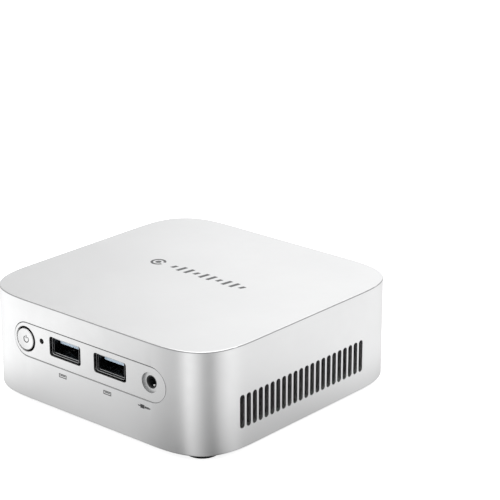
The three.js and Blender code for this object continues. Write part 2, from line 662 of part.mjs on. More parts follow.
function heatsink() {
  const { width, depth, baseBottom, baseTop, fins, finLength, finThick } = SINK;
  const y0 = COOLER_Y - depth / 2;
  const base = block(-width / 2, width / 2, y0, y0 + depth, baseBottom, baseTop);
  const step = (depth - finThick) / (fins - 1);
  const rows = [];
  for (let i = 0; i < fins; i++) {
    const y = y0 + i * step;
    rows.push(block(-finLength / 2, finLength / 2, y, y + finThick, FAN.top + FIN_GAP, baseBottom + GAP));
  }
  const holes = COOLER_HOLES.map(([x, y]) => rod(x, y, COOLER.holeRadius, baseBottom - 1, baseTop + 1));
  return cut(join(base, ...rows), ...holes);
}

// A counterbored hole through a corner of the fan's frame.
function fanFixing(x, y) {
  const { counterbore, seat } = FAN_BASE;
  const radius = COOLER.holeRadius;
  const low = FAN.bottom - 1;
  const high = FAN.top + 1;
  const wide = [[0, low], [counterbore, low], [counterbore, seat]];
  return turned(x, y, [...wide, [radius, seat], [radius, high], [0, high]]);
}

function fanFrame() {
  const half = FAN.size / 2;
  const { thick, column, strut } = FAN_BASE;
  const plate = upward(roundedRect(0, COOLER_Y, FAN.size, FAN.size, FAN.radius), FAN.bottom, FAN.top, 1);
  const duct = rod(0, COOLER_Y, FAN.ring, FAN.bottom - 1, FAN.top + 1, 32);
  const holes = COOLER_HOLES.map(([x, y]) => fanFixing(x, y));
  const base = rod(0, COOLER_Y, FAN.hub, FAN.top - thick, FAN.top, 24);
  const post = rod(0, COOLER_Y, column, BEARING.bottom, FAN.top, 24);
  const struts = [0, 1, 2, 3].map((i) => {
    const bar = new THREE.BoxGeometry(half, strut, thick).translate(half / 2 + 4, 0, FAN.top - thick / 2);
    return toSolid(bar.rotateZ((i + 0.5) * (Math.PI / 2)).translate(0, COOLER_Y, 0));
  });
  const socket = rod(0, COOLER_Y, BEARING.outer + GAP, BEARING.bottom - 1, FAN.top + 1, 24);
  return cut(join(cut(plate, duct, ...holes), base, post, ...struts), socket);
}

function fanBearing() {
  const { outer, inner, bottom, top } = BEARING;
  return cut(rod(0, COOLER_Y, outer, bottom, top, 24), rod(0, COOLER_Y, inner, bottom - 1, top + 1, 24));
}

function fanStator() {
  const { outer, inner, bottom, top } = STATOR;
  return cut(rod(0, COOLER_Y, outer, bottom, top, 18), rod(0, COOLER_Y, inner, bottom - 1, top + 1, 24));
}

function fanBlade(angle) {
  const root = FAN.hub - BLADE.overlap;
  const length = FAN.tip - root;
  const blade = new THREE.BoxGeometry(length, BLADE.thick, BLADE.span, 3, 1, 2);
  const points = blade.attributes.position;
  for (let i = 0; i < points.count; i++) {
    const reach = (points.getX(i) + length / 2) / length;
    const rise = points.getZ(i);
    const slant = rise * Math.tan(BLADE.lean - BLADE.untwist * reach);
    points.setY(i, points.getY(i) + slant + reach * reach * BLADE.sweep);
    points.setZ(i, rise * BLADE.flatten);
  }
  blade.translate(root + length / 2, 0, BLADE.z);
  return toSolid(blade.rotateZ(angle).translate(0, COOLER_Y, 0));
}

function fanRotor() {
  const { hub, blades } = FAN;
  const { bottom, top, roof, wall, shaftPlay, shaftTop } = ROTOR;
  const inside = rod(0, COOLER_Y, hub - wall, bottom + roof, top + 1, 20);
  const shaft = rod(0, COOLER_Y, BEARING.inner - shaftPlay, bottom + 0.5, shaftTop, 12);
  const ring = [];
  for (let i = 0; i < blades; i++) {
    ring.push(fanBlade((i / blades) * Math.PI * 2));
  }
  const cup = rod(0, COOLER_Y, hub, bottom, top, 24);
  return join(cut(join(cup, ...ring), inside), shaft);
}

// ---------------------------------------------------------------- assembly

const computer = new THREE.Group();

function place(name, solid, material) {
  const mesh = new THREE.Mesh(toGeometry(solid), material);
  mesh.name = name;
  computer.add(mesh);
  return mesh;
}

const CORNER_NAMES = ['front_left', 'front_right', 'rear_left', 'rear_right'];
const SIDES = ['left', 'right'];

place('top_shell', topShell(), silver);
place('front_port_panel', portPanel(), silver);
place('bottom_cover', bottomCover(), darkPlastic);
corners(FOOT.x, FOOT.y).forEach(([x, y], i) => place(`foot_${CORNER_NAMES[i]}`, foot(x, y), rubber));
corners(FIXING.x, FIXING.y).forEach(([x, y], i) => {
  const { head, headBottom, shank, top } = COVER_SCREW;
  place(`cover_screw_${CORNER_NAMES[i]}`, screw(x, y, head, headBottom, COVER.top - GAP, shank, top), steel);
  place(`standoff_${CORNER_NAMES[i]}`, standoff(x, y), blackenedSteel);
});

place('power_button', powerButton(), silver);
place('power_switch', switchBody(), blackPlastic);
place('power_switch_plunger', switchPlunger(), darkPlastic);
place('status_light_pipe', lightPipe(), clearPlastic);
place('status_light', statusLight(), clearPlastic);
place('audio_jack', audioJack(), blackPlastic);

SIDES.forEach((side, i) => {
  const shell = place(`front_usb_shell_${side}`, usbShell(), steel);
  const insert = place(`front_usb_tongue_${side}`, usbInsert(), bluePlastic);
  for (const piece of [shell, insert]) {
    piece.position.set(FRONT_USB.x[i], PANEL_FACE + FRONT_USB.setback, FRONT_USB.z);
  }
});

SIDES.forEach((side, i) => {
  const socket = new THREE.Group();
  socket.position.set(REAR_USB.x[i], REAR_MOUTH, REAR_USB.z);
  socket.rotation.set(0, Math.PI / 2, Math.PI, 'ZYX');
  socket.add(place(`rear_usb_shell_${side}`, usbShell(), steel));
  socket.add(place(`rear_usb_tongue_${side}`, usbInsert(), blackPlastic));
  computer.add(socket);
});

place('upper_video_port_shell', videoShell(UPPER_VIDEO, true), steel);
place('upper_video_port_tongue', videoInsert(UPPER_VIDEO), blackPlastic);
place('lower_video_port_shell', videoShell(LOWER_VIDEO, false), steel);
place('lower_video_port_tongue', videoInsert(LOWER_VIDEO), blackPlastic);
place('video_port_housing', videoHousing(), blackPlastic);
place('ethernet_shell', ethernetShell(), steel);
place('ethernet_socket', ethernetInsert(), blackPlastic);
place('power_jack', powerJack(), blackPlastic);
place('power_jack_pin', powerJackPin(), steel);

place('main_board', mainBoard(), boardGreen);
place('ssd_module', ssdModule(), boardGreen);
place('ssd_socket', ssdSocket(), blackPlastic);
place('ssd_screw', ssdScrew(), steel);
place('memory_module', memoryModule(), boardGreen);
place('memory_socket', memorySocket(), blackPlastic);
place('radio_card', radioCard(), boardGreen);
place('radio_socket', radioSocket(), blackPlastic);
place('coin_cell', coinCell(), steel);

const LEAD_LEFT = [[-45, -14, 22.8], [-45.3, -15, 19], [-46, -15, 12], [-46, -13.5, 8], [-46, -11, 5.9]];
const LEAD_RIGHT = [
  [-38, -14, 22.45],
  [-37, -20, 20.5],
  [-34, -31, 19],
  [-26, -36, 18],
  [0, -36.5, 17],
  [26, -36, 16],
  [37, -30, 13],
  [41, -21, 9.5],
  [44, -14, 6.8],
  [46, -8, 5.9],
];
place('antenna_left', antenna(-ANTENNA.x, ANTENNA.y, LEAD_LEFT), blackPlastic);
place('antenna_right', antenna(ANTENNA.x, ANTENNA.y, LEAD_RIGHT), blackPlastic);

place('processor', processor(), blackPlastic);
place('heatsink', heatsink(), aluminium);
place('fan_frame', fanFrame(), blackPlastic);
place('fan_bearing', fanBearing(), brass);
place('fan_stator', fanStator(), steel);
place('fan_rotor', fanRotor(), darkPlastic);
COOLER_HOLES.forEach(([x, y], i) => {
  const { head, headBottom, headTop, shank, top } = COOLER;
  place(`cooler_screw_${CORNER_NAMES[i]}`, screw(x, y, head, headBottom, headTop, shank, top), steel);
});

export default computer;
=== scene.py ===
"""A palm-sized desktop computer on a pale table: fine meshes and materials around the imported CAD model.

Lengths are in millimetres and are turned into metres where a mesh is made. X runs to the right, the front
faces -Y, and Z is up from the table.
"""
import math

import bmesh
import bpy
from mathutils import Matrix, Vector


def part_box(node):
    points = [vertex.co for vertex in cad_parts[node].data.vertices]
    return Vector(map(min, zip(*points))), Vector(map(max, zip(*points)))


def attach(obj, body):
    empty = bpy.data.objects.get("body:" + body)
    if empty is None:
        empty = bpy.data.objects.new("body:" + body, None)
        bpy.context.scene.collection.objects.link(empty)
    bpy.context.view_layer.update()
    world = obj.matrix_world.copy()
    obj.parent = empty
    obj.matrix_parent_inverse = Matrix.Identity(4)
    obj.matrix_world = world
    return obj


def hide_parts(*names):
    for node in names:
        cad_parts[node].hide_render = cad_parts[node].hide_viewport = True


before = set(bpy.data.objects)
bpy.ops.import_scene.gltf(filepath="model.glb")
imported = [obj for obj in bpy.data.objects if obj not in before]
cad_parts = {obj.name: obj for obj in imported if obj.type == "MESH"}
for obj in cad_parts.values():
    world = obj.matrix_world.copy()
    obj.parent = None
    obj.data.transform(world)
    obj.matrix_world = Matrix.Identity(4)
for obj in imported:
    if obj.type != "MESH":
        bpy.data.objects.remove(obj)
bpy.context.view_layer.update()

MM = 0.001
CASE = "case"


def node_box(node):
    low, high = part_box(node)
    return low / MM, high / MM


def middle(node):
    low, high = node_box(node)
    return (low + high) / 2


def linked(name, data):
    """A new object in the scene."""
    thing = bpy.data.objects.new(name, data)
    bpy.context.scene.collection.objects.link(thing)
    return thing


# ---- the camera

CASE_LOW, CASE_HIGH = node_box("top_shell")
WIDTH = CASE_HIGH.x - CASE_LOW.x
CAMERA_AZIMUTH = math.radians(41.025)
CAMERA_ELEVATION = math.radians(19.589)
CAMERA_DISTANCE = 6.3313 * WIDTH * MM
CAMERA_RIGHT = 0.1897 * WIDTH * MM
CAMERA_UP = 0.4174 * WIDTH * MM
SENSOR = 36.0
FOCAL_LENGTH = 3.79656 * SENSOR


def add_camera():
    data = bpy.data.cameras.new("camera")
    data.sensor_width = SENSOR
    data.lens = FOCAL_LENGTH
    data.clip_start = 0.01
    camera = linked("camera", data)
    flat = math.cos(CAMERA_ELEVATION)
    back = Vector((
        math.sin(CAMERA_AZIMUTH) * flat,
        -math.cos(CAMERA_AZIMUTH) * flat,
        math.sin(CAMERA_ELEVATION),
    ))
    right = Vector((math.cos(CAMERA_AZIMUTH), math.sin(CAMERA_AZIMUTH), 0))
    up = back.cross(right)
    base = Vector((0, 0, CASE_LOW.z * MM))
    camera.location = base + back * CAMERA_DISTANCE + right * CAMERA_RIGHT + up * CAMERA_UP
    camera.rotation_euler = Matrix((right, up, back)).transposed().to_euler()
    bpy.context.scene.camera = camera


add_camera()


# ---- materials

class Nodes:
    """A short way to write a material's nodes."""

    def __init__(self, name):
        self.material = bpy.data.materials.new(name)
        self.material.use_nodes = True
        self.tree = self.material.node_tree
        self.shader = self.tree.nodes["Principled BSDF"]
        self.place = self.add("ShaderNodeTexCoord").outputs["Object"]

    def add(self, kind, **values):
        node = self.tree.nodes.new(kind)
        for key, value in values.items():
            setattr(node, key, value)
        return node

    def join(self, source, target):
        self.tree.links.new(source, target)

    def stretched(self, scale):
        """The object's coordinates, scaled differently along each axis."""
        node = self.add("ShaderNodeMapping")
        node.inputs["Scale"].default_value = scale
        self.join(self.place, node.inputs["Vector"])
        return node.outputs["Vector"]

    def noise(self, scale, detail=3.0, roughness=0.55, vector=None):
        node = self.add("ShaderNodeTexNoise")
        node.inputs["Scale"].default_value = scale
        node.inputs["Detail"].default_value = detail
        node.inputs["Roughness"].default_value = roughness
        self.join(vector or self.place, node.inputs["Vector"])
        return node.outputs["Fac"]

    def ramp(self, value, low, high, start=0.3, end=0.7):
        """Turns value, between start and end, into a number from low to high."""
        node = self.add("ShaderNodeMapRange")
        for name, number in (("From Min", start), ("From Max", end), ("To Min", low), ("To Max", high)):
            node.inputs[name].default_value = number
        self.join(value, node.inputs["Value"])
        return node.outputs["Result"]

    def mix(self, share, first, second):
        """The first colour where share is 0, the second where it is 1."""
        factor, colours = 0, (6, 7)
        node = self.add("ShaderNodeMix", data_type="RGBA")
        for number, colour in zip(colours, (first, second)):
            node.inputs[number].default_value = (*colour, 1)
        self.join(share, node.inputs[factor])
        return node.outputs[2]

    def math(self, operation, first, second=0.0):
        node = self.add("ShaderNodeMath", operation=operation)
        for socket, value in zip(node.inputs, (first, second)):
            if hasattr(value, "is_output"):
                self.join(value, socket)
            else:
                socket.default_value = value
        return node.outputs[0]

    def bump(self, height, depth, strength):
        """Bumps the surface by height times depth, in metres."""
        node = self.add("ShaderNodeBump")
        node.inputs["Strength"].default_value = strength
        node.inputs["Distance"].default_value = depth
        self.join(height, node.inputs["Height"])
        return node.outputs["Normal"]

    def finish(self, colour=None, rough=None, normal=None, **values):
        for name, source in (("Base Color", colour), ("Roughness", rough), ("Normal", normal)):
            if source:
                self.join(source, self.shader.inputs[name])
        for name, value in values.items():
            self.shader.inputs[name.replace("_", " ")].default_value = value
        return self.material


def blasted_aluminium(name, bright, dull, smooth, coarse):
    """Bead-blasted and anodised: a fine grain, with faint cloudy changes in colour and gloss."""
    n = Nodes(name)
    cloud = n.noise(28, 2)
    grain = n.noise(5200, 2, 0.6)
    handling = n.noise(210, 4, 0.65)
    colour = n.mix(n.ramp(cloud, 0, 1), bright, dull)
    rough = n.ramp(handling, smooth, coarse)
    return n.finish(colour, rough, n.bump(grain, 4e-6, 0.35), Metallic=1.0)


def plated_metal(name, light, dark, smooth, coarse, along=(1, 1, 1)):
    """Rolled or turned metal with a light plating: fine lines along one way and a few dull spots."""
    n = Nodes(name)
    lines = n.noise(900, 3, 0.6, n.stretched(along))
    spots = n.noise(420, 4, 0.7)
    colour = n.mix(n.ramp(spots, 0, 1, 0.45, 0.75), light, dark)
    rough = n.ramp(lines, smooth, coarse)
    return n.finish(colour, rough, n.bump(lines, 6e-6, 0.5), Metallic=1.0)


def moulded_plastic(name, colour, second, smooth, coarse, grain=2600, depth=8e-6):
    """Moulded plastic with the fine grain of an eroded mould and faint flow marks."""
    n = Nodes(name)
    flow = n.noise(60, 3)
    texture = n.noise(grain, 3, 0.6)
    mixed = n.mix(n.ramp(flow, 0, 1), colour, second)
    return n.finish(mixed, n.ramp(texture, smooth, coarse), n.bump(texture, depth, 0.6))


def foot_rubber():
    n = Nodes("foot_rubber")
    dust = n.noise(330, 5, 0.7)
    pores = n.noise(1900, 2, 0.5)
    colour = n.mix(n.ramp(dust, 0, 1, 0.5, 0.85), (0.006, 0.006, 0.0065), (0.03, 0.029, 0.027))
    return n.finish(colour, n.ramp(dust, 0.7, 0.92), n.bump(pores, 2.5e-5, 0.5), Specular_IOR_Level=0.1)


def circuit_board(name, mask, copper):
    """Solder mask over copper: stepped tracks show as a slightly lighter green, with rows of small pads."""
    n = Nodes(name)
    brick = n.add("ShaderNodeTexBrick", offset=0.37, squash=0.6, squash_frequency=3)
    brick.inputs["Scale"].default_value = 210
    brick.inputs["Mortar Size"].default_value = 0.035
    brick.inputs["Mortar Smooth"].default_value = 0.1
    n.join(n.place, brick.inputs["Vector"])
    tracks = brick.outputs["Fac"]
    weave = n.noise(1500, 2)
    colour = n.mix(n.math("MULTIPLY", tracks, 0.8), mask, copper)
    return n.finish(colour, n.ramp(weave, 0.25, 0.42), n.bump(tracks, 1.5e-5, 0.5), Coat_Weight=0.4)


def raw_cut():
    """The unpolished wall of a milled opening: matt, with fine lines from the tool."""
    n = Nodes("raw_cut")
    lines = n.noise(1100, 3, 0.6, n.stretched((1, 0.08, 1)))
    colour = n.mix(n.ramp(lines, 0, 1), (0.62, 0.62, 0.62), (0.54, 0.54, 0.54))
    return n.finish(colour, n.ramp(lines, 0.45, 0.6), n.bump(lines, 5e-6, 0.5), Metallic=0.15)


def dull_ink(name, colour, second):
    """A thin matt print or laser mark."""
    n = Nodes(name)
    speckle = n.noise(3000, 3, 0.6)
    return n.finish(n.mix(n.ramp(speckle, 0, 1), colour, second), n.ramp(speckle, 0.5, 0.7))


def smoked_lens():
    n = Nodes("light_pipe")
    swirl = n.noise(700, 3)
    colour = n.mix(n.ramp(swirl, 0, 1), (0.005, 0.0055, 0.006), (0.009, 0.0095, 0.01))
    return n.finish(colour, n.ramp(swirl, 0.4, 0.55), Specular_IOR_Level=0.15)


def fan_plastic():
    n = Nodes("fan_plastic")
    sheen = n.noise(90, 3)
    texture = n.noise(1700, 3)
    colour = n.mix(n.ramp(sheen, 0, 1), (0.016, 0.017, 0.019), (0.028, 0.029, 0.032))
    return n.finish(colour, n.ramp(texture, 0.36, 0.5), n.bump(texture, 6e-6, 0.4))


CASE_METAL = blasted_aluminium("case_aluminium", (0.763, 0.765, 0.767), (0.739, 0.741, 0.744), 0.36, 0.42)
PANEL_METAL = blasted_aluminium("panel_aluminium", (0.773, 0.775, 0.777), (0.752, 0.754, 0.756), 0.38, 0.44)
# Darker than the case: painted shade, for the grey line along the crown and round the port panel's opening.
SHADED_EDGE_METAL = blasted_aluminium("case_edge_painted_shade", (0.4, 0.402, 0.405), (0.37, 0.372, 0.375), 0.34, 0.42)
# Darker than the panel: painted shade on the walls inside the panel's openings.
SHADED_CUT_METAL = plated_metal("cut_aluminium_painted_shade", (0.42, 0.425, 0.43), (0.34, 0.345, 0.35), 0.35, 0.5, (1, 0.1, 1))
SINK_METAL = plated_metal("heatsink_aluminium", (0.66, 0.67, 0.69), (0.5, 0.51, 0.53), 0.3, 0.5, (0.05, 1, 1))
LINES_ALONG_Y = (1, 0.08, 1)
STEEL = plated_metal("connector_steel", (0.5, 0.505, 0.51), (0.4, 0.4, 0.4), 0.24, 0.38, LINES_ALONG_Y)
# Near-black steel: the blackened finish of the standoffs, and painted shade on the inner walls of the USB
# shells.
SHADE_AND_BLACKENED_STEEL = plated_metal(
    "blackened_steel", (0.07, 0.072, 0.075), (0.045, 0.046, 0.048), 0.3, 0.45, LINES_ALONG_Y)
NICKEL = plated_metal("bright_nickel", (0.9, 0.9, 0.89), (0.8, 0.8, 0.79), 0.4, 0.55)
SCREW_STEEL = plated_metal("screw_steel", (0.62, 0.625, 0.63), (0.42, 0.42, 0.42), 0.24, 0.42)
BRASS = plated_metal("brass", (0.6, 0.45, 0.2), (0.42, 0.31, 0.14), 0.25, 0.4, (1, 1, 0.1))
GOLD = plated_metal("gold_contact", (0.9, 0.68, 0.32), (0.75, 0.55, 0.25), 0.18, 0.3, (1, 0.1, 1))
# Near black: painted shade on the case's inner walls and in the gap above the port panel.
PAINTED_SHADE_BLACK = moulded_plastic("painted_shade_black", (0.012, 0.012, 0.013), (0.02, 0.02, 0.021), 0.6, 0.8)
COVER_PLASTIC = moulded_plastic(
    "cover_plastic", (0.03, 0.032, 0.035), (0.042, 0.044, 0.047), 0.5, 0.68, grain=1500, depth=3e-5)
BLACK = moulded_plastic("black_plastic", (0.011, 0.012, 0.013), (0.018, 0.019, 0.02), 0.34, 0.5)
BLUE = moulded_plastic("blue_plastic", (0.42, 0.51, 0.6), (0.37, 0.47, 0.57), 0.3, 0.42)
# Bright matt white: painted light, a lit wall round the power button's hole.
PAINTED_LIGHT_HOLE_WALL = moulded_plastic("painted_light_hole_wall", (0.82, 0.82, 0.82), (0.77, 0.77, 0.77), 0.4, 0.55)
WHITE = moulded_plastic("white_plastic", (0.72, 0.73, 0.68), (0.62, 0.63, 0.58), 0.3, 0.45)
RUBBER = foot_rubber()
BOARD = circuit_board("circuit_board", (0.012, 0.06, 0.035), (0.04, 0.15, 0.08))
INK = dull_ink("grey_ink", (0.085, 0.086, 0.088), (0.11, 0.11, 0.113))
DARK_INK = dull_ink("dark_ink", (0.022, 0.022, 0.023), (0.036, 0.036, 0.037))
LENS = smoked_lens()
RAW_CUT = raw_cut()
GREY = moulded_plastic("grey_plastic", (0.42, 0.42, 0.42), (0.36, 0.36, 0.36), 0.35, 0.5)
FAN = fan_plastic()


# ---- mesh tools

SHARP_TURN = math.radians(40)
AXES = {
    "X": lambda u, v, w: (w, u, v),
    "Y": lambda u, v, w: (u, w, v),
    "Z": lambda u, v, w: (u, v, w),
}


def rounded_rect(cx, cy, width, height, radius, steps=6):
    """An outline as a function of how far inside it the wanted loop lies."""
    def outline(inset):
        r = max(radius - inset, 0.02)
        x = width / 2 - inset - r
        y = height / 2 - inset - r
        points = []
        for quarter, (sx, sy) in enumerate(((1, 1), (-1, 1), (-1, -1), (1, -1))):
            for i in range(steps + 1):
                angle = (quarter + i / steps) * math.pi / 2
                points.append((cx + sx * x + r * math.cos(angle), cy + sy * y + r * math.sin(angle)))
        return points
    return outline


def circle(cx, cy, radius, steps=64):
    def outline(inset):
        r = radius - inset
        turn = 2 * math.pi / steps
        return [(cx + r * math.cos(i * turn), cy + r * math.sin(i * turn)) for i in range(steps)]
    return outline


def cornered(points):
    """An outline with straight sides, moved inwards by the inset along both sides of each corner."""
    def outline(inset):
        moved = []
        for i, point in enumerate(points):
            before, here, after = (Vector(p) for p in (points[i - 1], point, points[(i + 1) % len(points)]))
            first = (here - before).normalized()
            second = (after - here).normalized()
            inward = Vector((-first.y - second.y, first.x + second.x))
            share = inset / max(1 + first.dot(second), 0.1)
            moved.append(tuple(here + inward * share))
        return moved
    return outline


def skin(mesh, loops, closed=False):
    """Makes a solid from loops of vertices, capped at both ends or closed into a ring."""
    faces = []
    pairs = list(zip(loops, loops[1:]))
    if closed:
        pairs.append((loops[-1], loops[0]))
    for first, second in pairs:
        for i in range(len(first)):
            j = (i + 1) % len(first)
            faces.append(mesh.faces.new((first[i], first[j], second[j], second[i])))
    if not closed:
        faces.append(mesh.faces.new(loops[0][::-1]))
        faces.append(mesh.faces.new(loops[-1]))
    bmesh.ops.recalc_face_normals(mesh, faces=faces)


def loft(mesh, outline, axis, stations, closed=False):
    """Adds a solid to mesh, with one loop at each station (inset, place)."""
    loops = []
    for inset, place in stations:
        loops.append([mesh.verts.new(AXES[axis](u, v, place)) for u, v in outline(inset)])
    skin(mesh, loops, closed)


def prism(mesh, outline, axis, start, end):
    """Adds a straight solid to mesh."""
    loft(mesh, outline, axis, [(0, start), (0, end)])


def join_moved(mesh, part, matrix):
    """Adds part to mesh, moved by the matrix."""
    bmesh.ops.transform(part, matrix=matrix, verts=part.verts)
    data = bpy.data.meshes.new("part")
    part.to_mesh(data)
    part.free()
    mesh.from_mesh(data)
    bpy.data.meshes.remove(data)


def eased(start, end, radius, steps=3, both=True):
    """Stations from start to end, with rounded rims of that radius at the start and, if asked, at the end."""
    way = 1 if end > start else -1
    near, far = [], []
    for i in range(steps + 1):
        angle = i / steps * math.pi / 2
        inset = radius * (1 - math.sin(angle))
        depth = radius * (1 - math.cos(angle))
        near.append((inset, start + way * depth))
        far.append((inset, end - way * depth))
    return near + (far[::-1] if both else [(0, end)])


def turned(mesh, cx, cy, axis, profile, steps=48):
    """Adds a turned solid. The profile lists (radius, place) from one end of the axis to the other."""
    loft(mesh, circle(cx, cy, 0, steps), axis, [(-radius, place) for radius, place in profile])


def box(mesh, low, high, rim=0.0):
    cx, cy = (low[0] + high[0]) / 2, (low[1] + high[1]) / 2
    outline = rounded_rect(cx, cy, high[0] - low[0], high[1] - low[1], max(rim, 0.02), 2)
    loft(mesh, outline, "Z", eased(low[2], high[2], rim, 2) if rim else [(0, low[2]), (0, high[2])])


def shaped(name, mesh, materials):
    """Turns a mesh in millimetres into an object in metres."""
    bmesh.ops.scale(mesh, vec=(MM, MM, MM), verts=mesh.verts)
    data = bpy.data.meshes.new(name)
    mesh.to_mesh(data)
    mesh.free()
    for material in materials:
        data.materials.append(material)
    return linked(name, data)


def piece(name, mesh, materials, body=CASE, replaces=(), angle=30):
    """Turns a mesh into a finished piece that rides on a body."""
    bmesh.ops.remove_doubles(mesh, verts=mesh.verts, dist=1e-5)
    thing = shaped(name, mesh, materials if isinstance(materials, list) else [materials])
    data = thing.data
    data.polygons.foreach_set("use_smooth", [True] * len(data.polygons))
    data.set_sharp_from_angle(angle=math.radians(angle))
    modifier = thing.modifiers.new("weighted_normals", "WEIGHTED_NORMAL")
    modifier.keep_sharp = True
    modifier.weight = 100
    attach(thing, body)
    if replaces:
        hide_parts(*replaces)
    return thing


def carved(mesh, cutter):
    """mesh with the cutter's solids taken out of it, as a new mesh."""
    parts = []
    for name, source in (("carved", mesh), ("cutter", cutter)):
        data = bpy.data.meshes.new(name)
        source.to_mesh(data)
        source.free()
        parts.append(linked(name, data))
    target, tool = parts
    modifier = target.modifiers.new("cut", "BOOLEAN")
    modifier.operation = "DIFFERENCE"
    modifier.solver = "EXACT"
    modifier.object = tool
    evaluated = target.evaluated_get(bpy.context.evaluated_depsgraph_get())
    result = bmesh.new()
    result.from_mesh(evaluated.to_mesh())
    for part in parts:
        data = part.data
        bpy.data.objects.remove(part)
        bpy.data.meshes.remove(data)
    return result


def soften(mesh, width, wanted):
    """Rounds the sharp outward edges for which wanted(middle of the edge) is true, where there is room."""
    bmesh.ops.dissolve_degenerate(mesh, dist=1e-4, edges=mesh.edges)
    chosen = []
    for edge in mesh.edges:
        if len(edge.link_faces) != 2 or not edge.is_convex:
            continue
        turn = edge.calc_face_angle(0)
        if turn > SHARP_TURN and wanted((edge.verts[0].co + edge.verts[1].co) / 2):
            chosen.append(edge)
    bmesh.ops.bevel(
        mesh, geom=chosen, offset=width, offset_type="OFFSET", segments=2, profile=0.5,
        affect="EDGES", clamp_overlap=True,
    )


# ---- case outline

WALL = 2.0
DEPTH = CASE_HIGH.y - CASE_LOW.y
FRONT = CASE_LOW.y
REAR = CASE_HIGH.y
CORNER = WIDTH / 4
CORNER_POWER = 3.1
CORNER_STEPS = 26
FINE_STEPS = 400


def soft_corner():
    """Evenly spaced points on one superelliptic corner of size 1, from +X round to +Y."""
    fine = []
    for i in range(FINE_STEPS + 1):
        angle = i / FINE_STEPS * math.pi / 2
        fine.append(Vector((
            max(math.cos(angle), 0) ** (2 / CORNER_POWER),
            max(math.sin(angle), 0) ** (2 / CORNER_POWER),
        )))
    travelled = [0]
    for before, after in zip(fine, fine[1:]):
        travelled.append(travelled[-1] + (after - before).length)
    corner = []
    k = 0
    for i in range(CORNER_STEPS + 1):
        goal = travelled[-1] * i / CORNER_STEPS
        while k < FINE_STEPS - 1 and travelled[k + 1] < goal:
            k += 1
        share = (goal - travelled[k]) / (travelled[k + 1] - travelled[k])
        corner.append(fine[k].lerp(fine[k + 1], min(share, 1)))
    return corner


UNIT_CORNER = soft_corner()


def case_outline(inset):
    points = []
    for sx, sy, flip in ((1, 1, False), (-1, 1, True), (-1, -1, False), (1, -1, True)):
        corner = UNIT_CORNER[::-1] if flip else UNIT_CORNER
        for point in corner:
            x = WIDTH / 2 - CORNER + point.x * (CORNER - inset)
            y = DEPTH / 2 - CORNER + point.y * (CORNER - inset)
            points.append((sx * x, sy * y))
    return points


def surface_y(x):
    """How far the rear wall's outer face lies behind the middle at that x. The front is its mirror image."""
    beyond = max(abs(x) - (WIDTH / 2 - CORNER), 0) / CORNER
    return DEPTH / 2 - CORNER + CORNER * (1 - beyond ** CORNER_POWER) ** (1 / CORNER_POWER)


# ---- case

VENT_COUNT = 22
VENT_FIRST_Y = -35.6
VENT_PITCH = 3.088
VENT_WIDTH = 2.2
VENT_LENGTH = 12.4
VENT_Z = 16.4
OUTER_EDGE = 0.5
# How far below the top the band of painted shade along the crown starts and ends.
PAINTED_SHADE_CROWN_BAND = (0.55, 0.13)
LOWER_EDGE = 0.8
OPENING_EDGE = 0.16
PANEL_OPENING_EDGE = 0.3

PANEL_LIP = 2.0
PANEL_LOW, PANEL_HIGH = node_box("front_port_panel")
PANEL_X = (PANEL_LOW.x + PANEL_HIGH.x) / 2
PANEL_Z = (PANEL_LOW.z + PANEL_HIGH.z) / 2
PANEL_PLAY = 0.1
PANEL_DROP = 0.08
PANEL_WIDTH = PANEL_HIGH.x - PANEL_LOW.x - 2 * PANEL_LIP
PANEL_HEIGHT = PANEL_HIGH.z - PANEL_LOW.z - 2 * PANEL_LIP

REAR_USB_CUT = (7.1, 15.1)
UPPER_VIDEO_CUT = (15.8, 6.2)
LOWER_VIDEO_CUT = (17.8, 6.2)
VIDEO_CHAMFER = 1.7
NETWORK_CUT = (8.45, -7.15, 7.15)  # (half of the width, the bottom, the top), from the socket's middle
NETWORK_LATCH = (2.7, -8.75)  # the notch below it: (half of the width, the bottom)
NETWORK_PLUG = (6, -3.2, 4.2)
NETWORK_PLUG_LATCH = (3.2, -4.9)
POWER_HOLE = 3.5
LOCK_SLOT = (27.2, 6.8, 7.0, 3.0)  # (x, z, width, height)


def video_outline(cx, cz, width, height, both_corners):
    x, z, c = width / 2, height / 2, VIDEO_CHAMFER
    right = [(x, z - c), (x - c, z)] if both_corners else [(x, z)]
    points = [(-x, -z), (x, -z), *right, (-x + c, z), (-x, z - c)]
    return cornered([(cx + u, cz + v) for u, v in points])


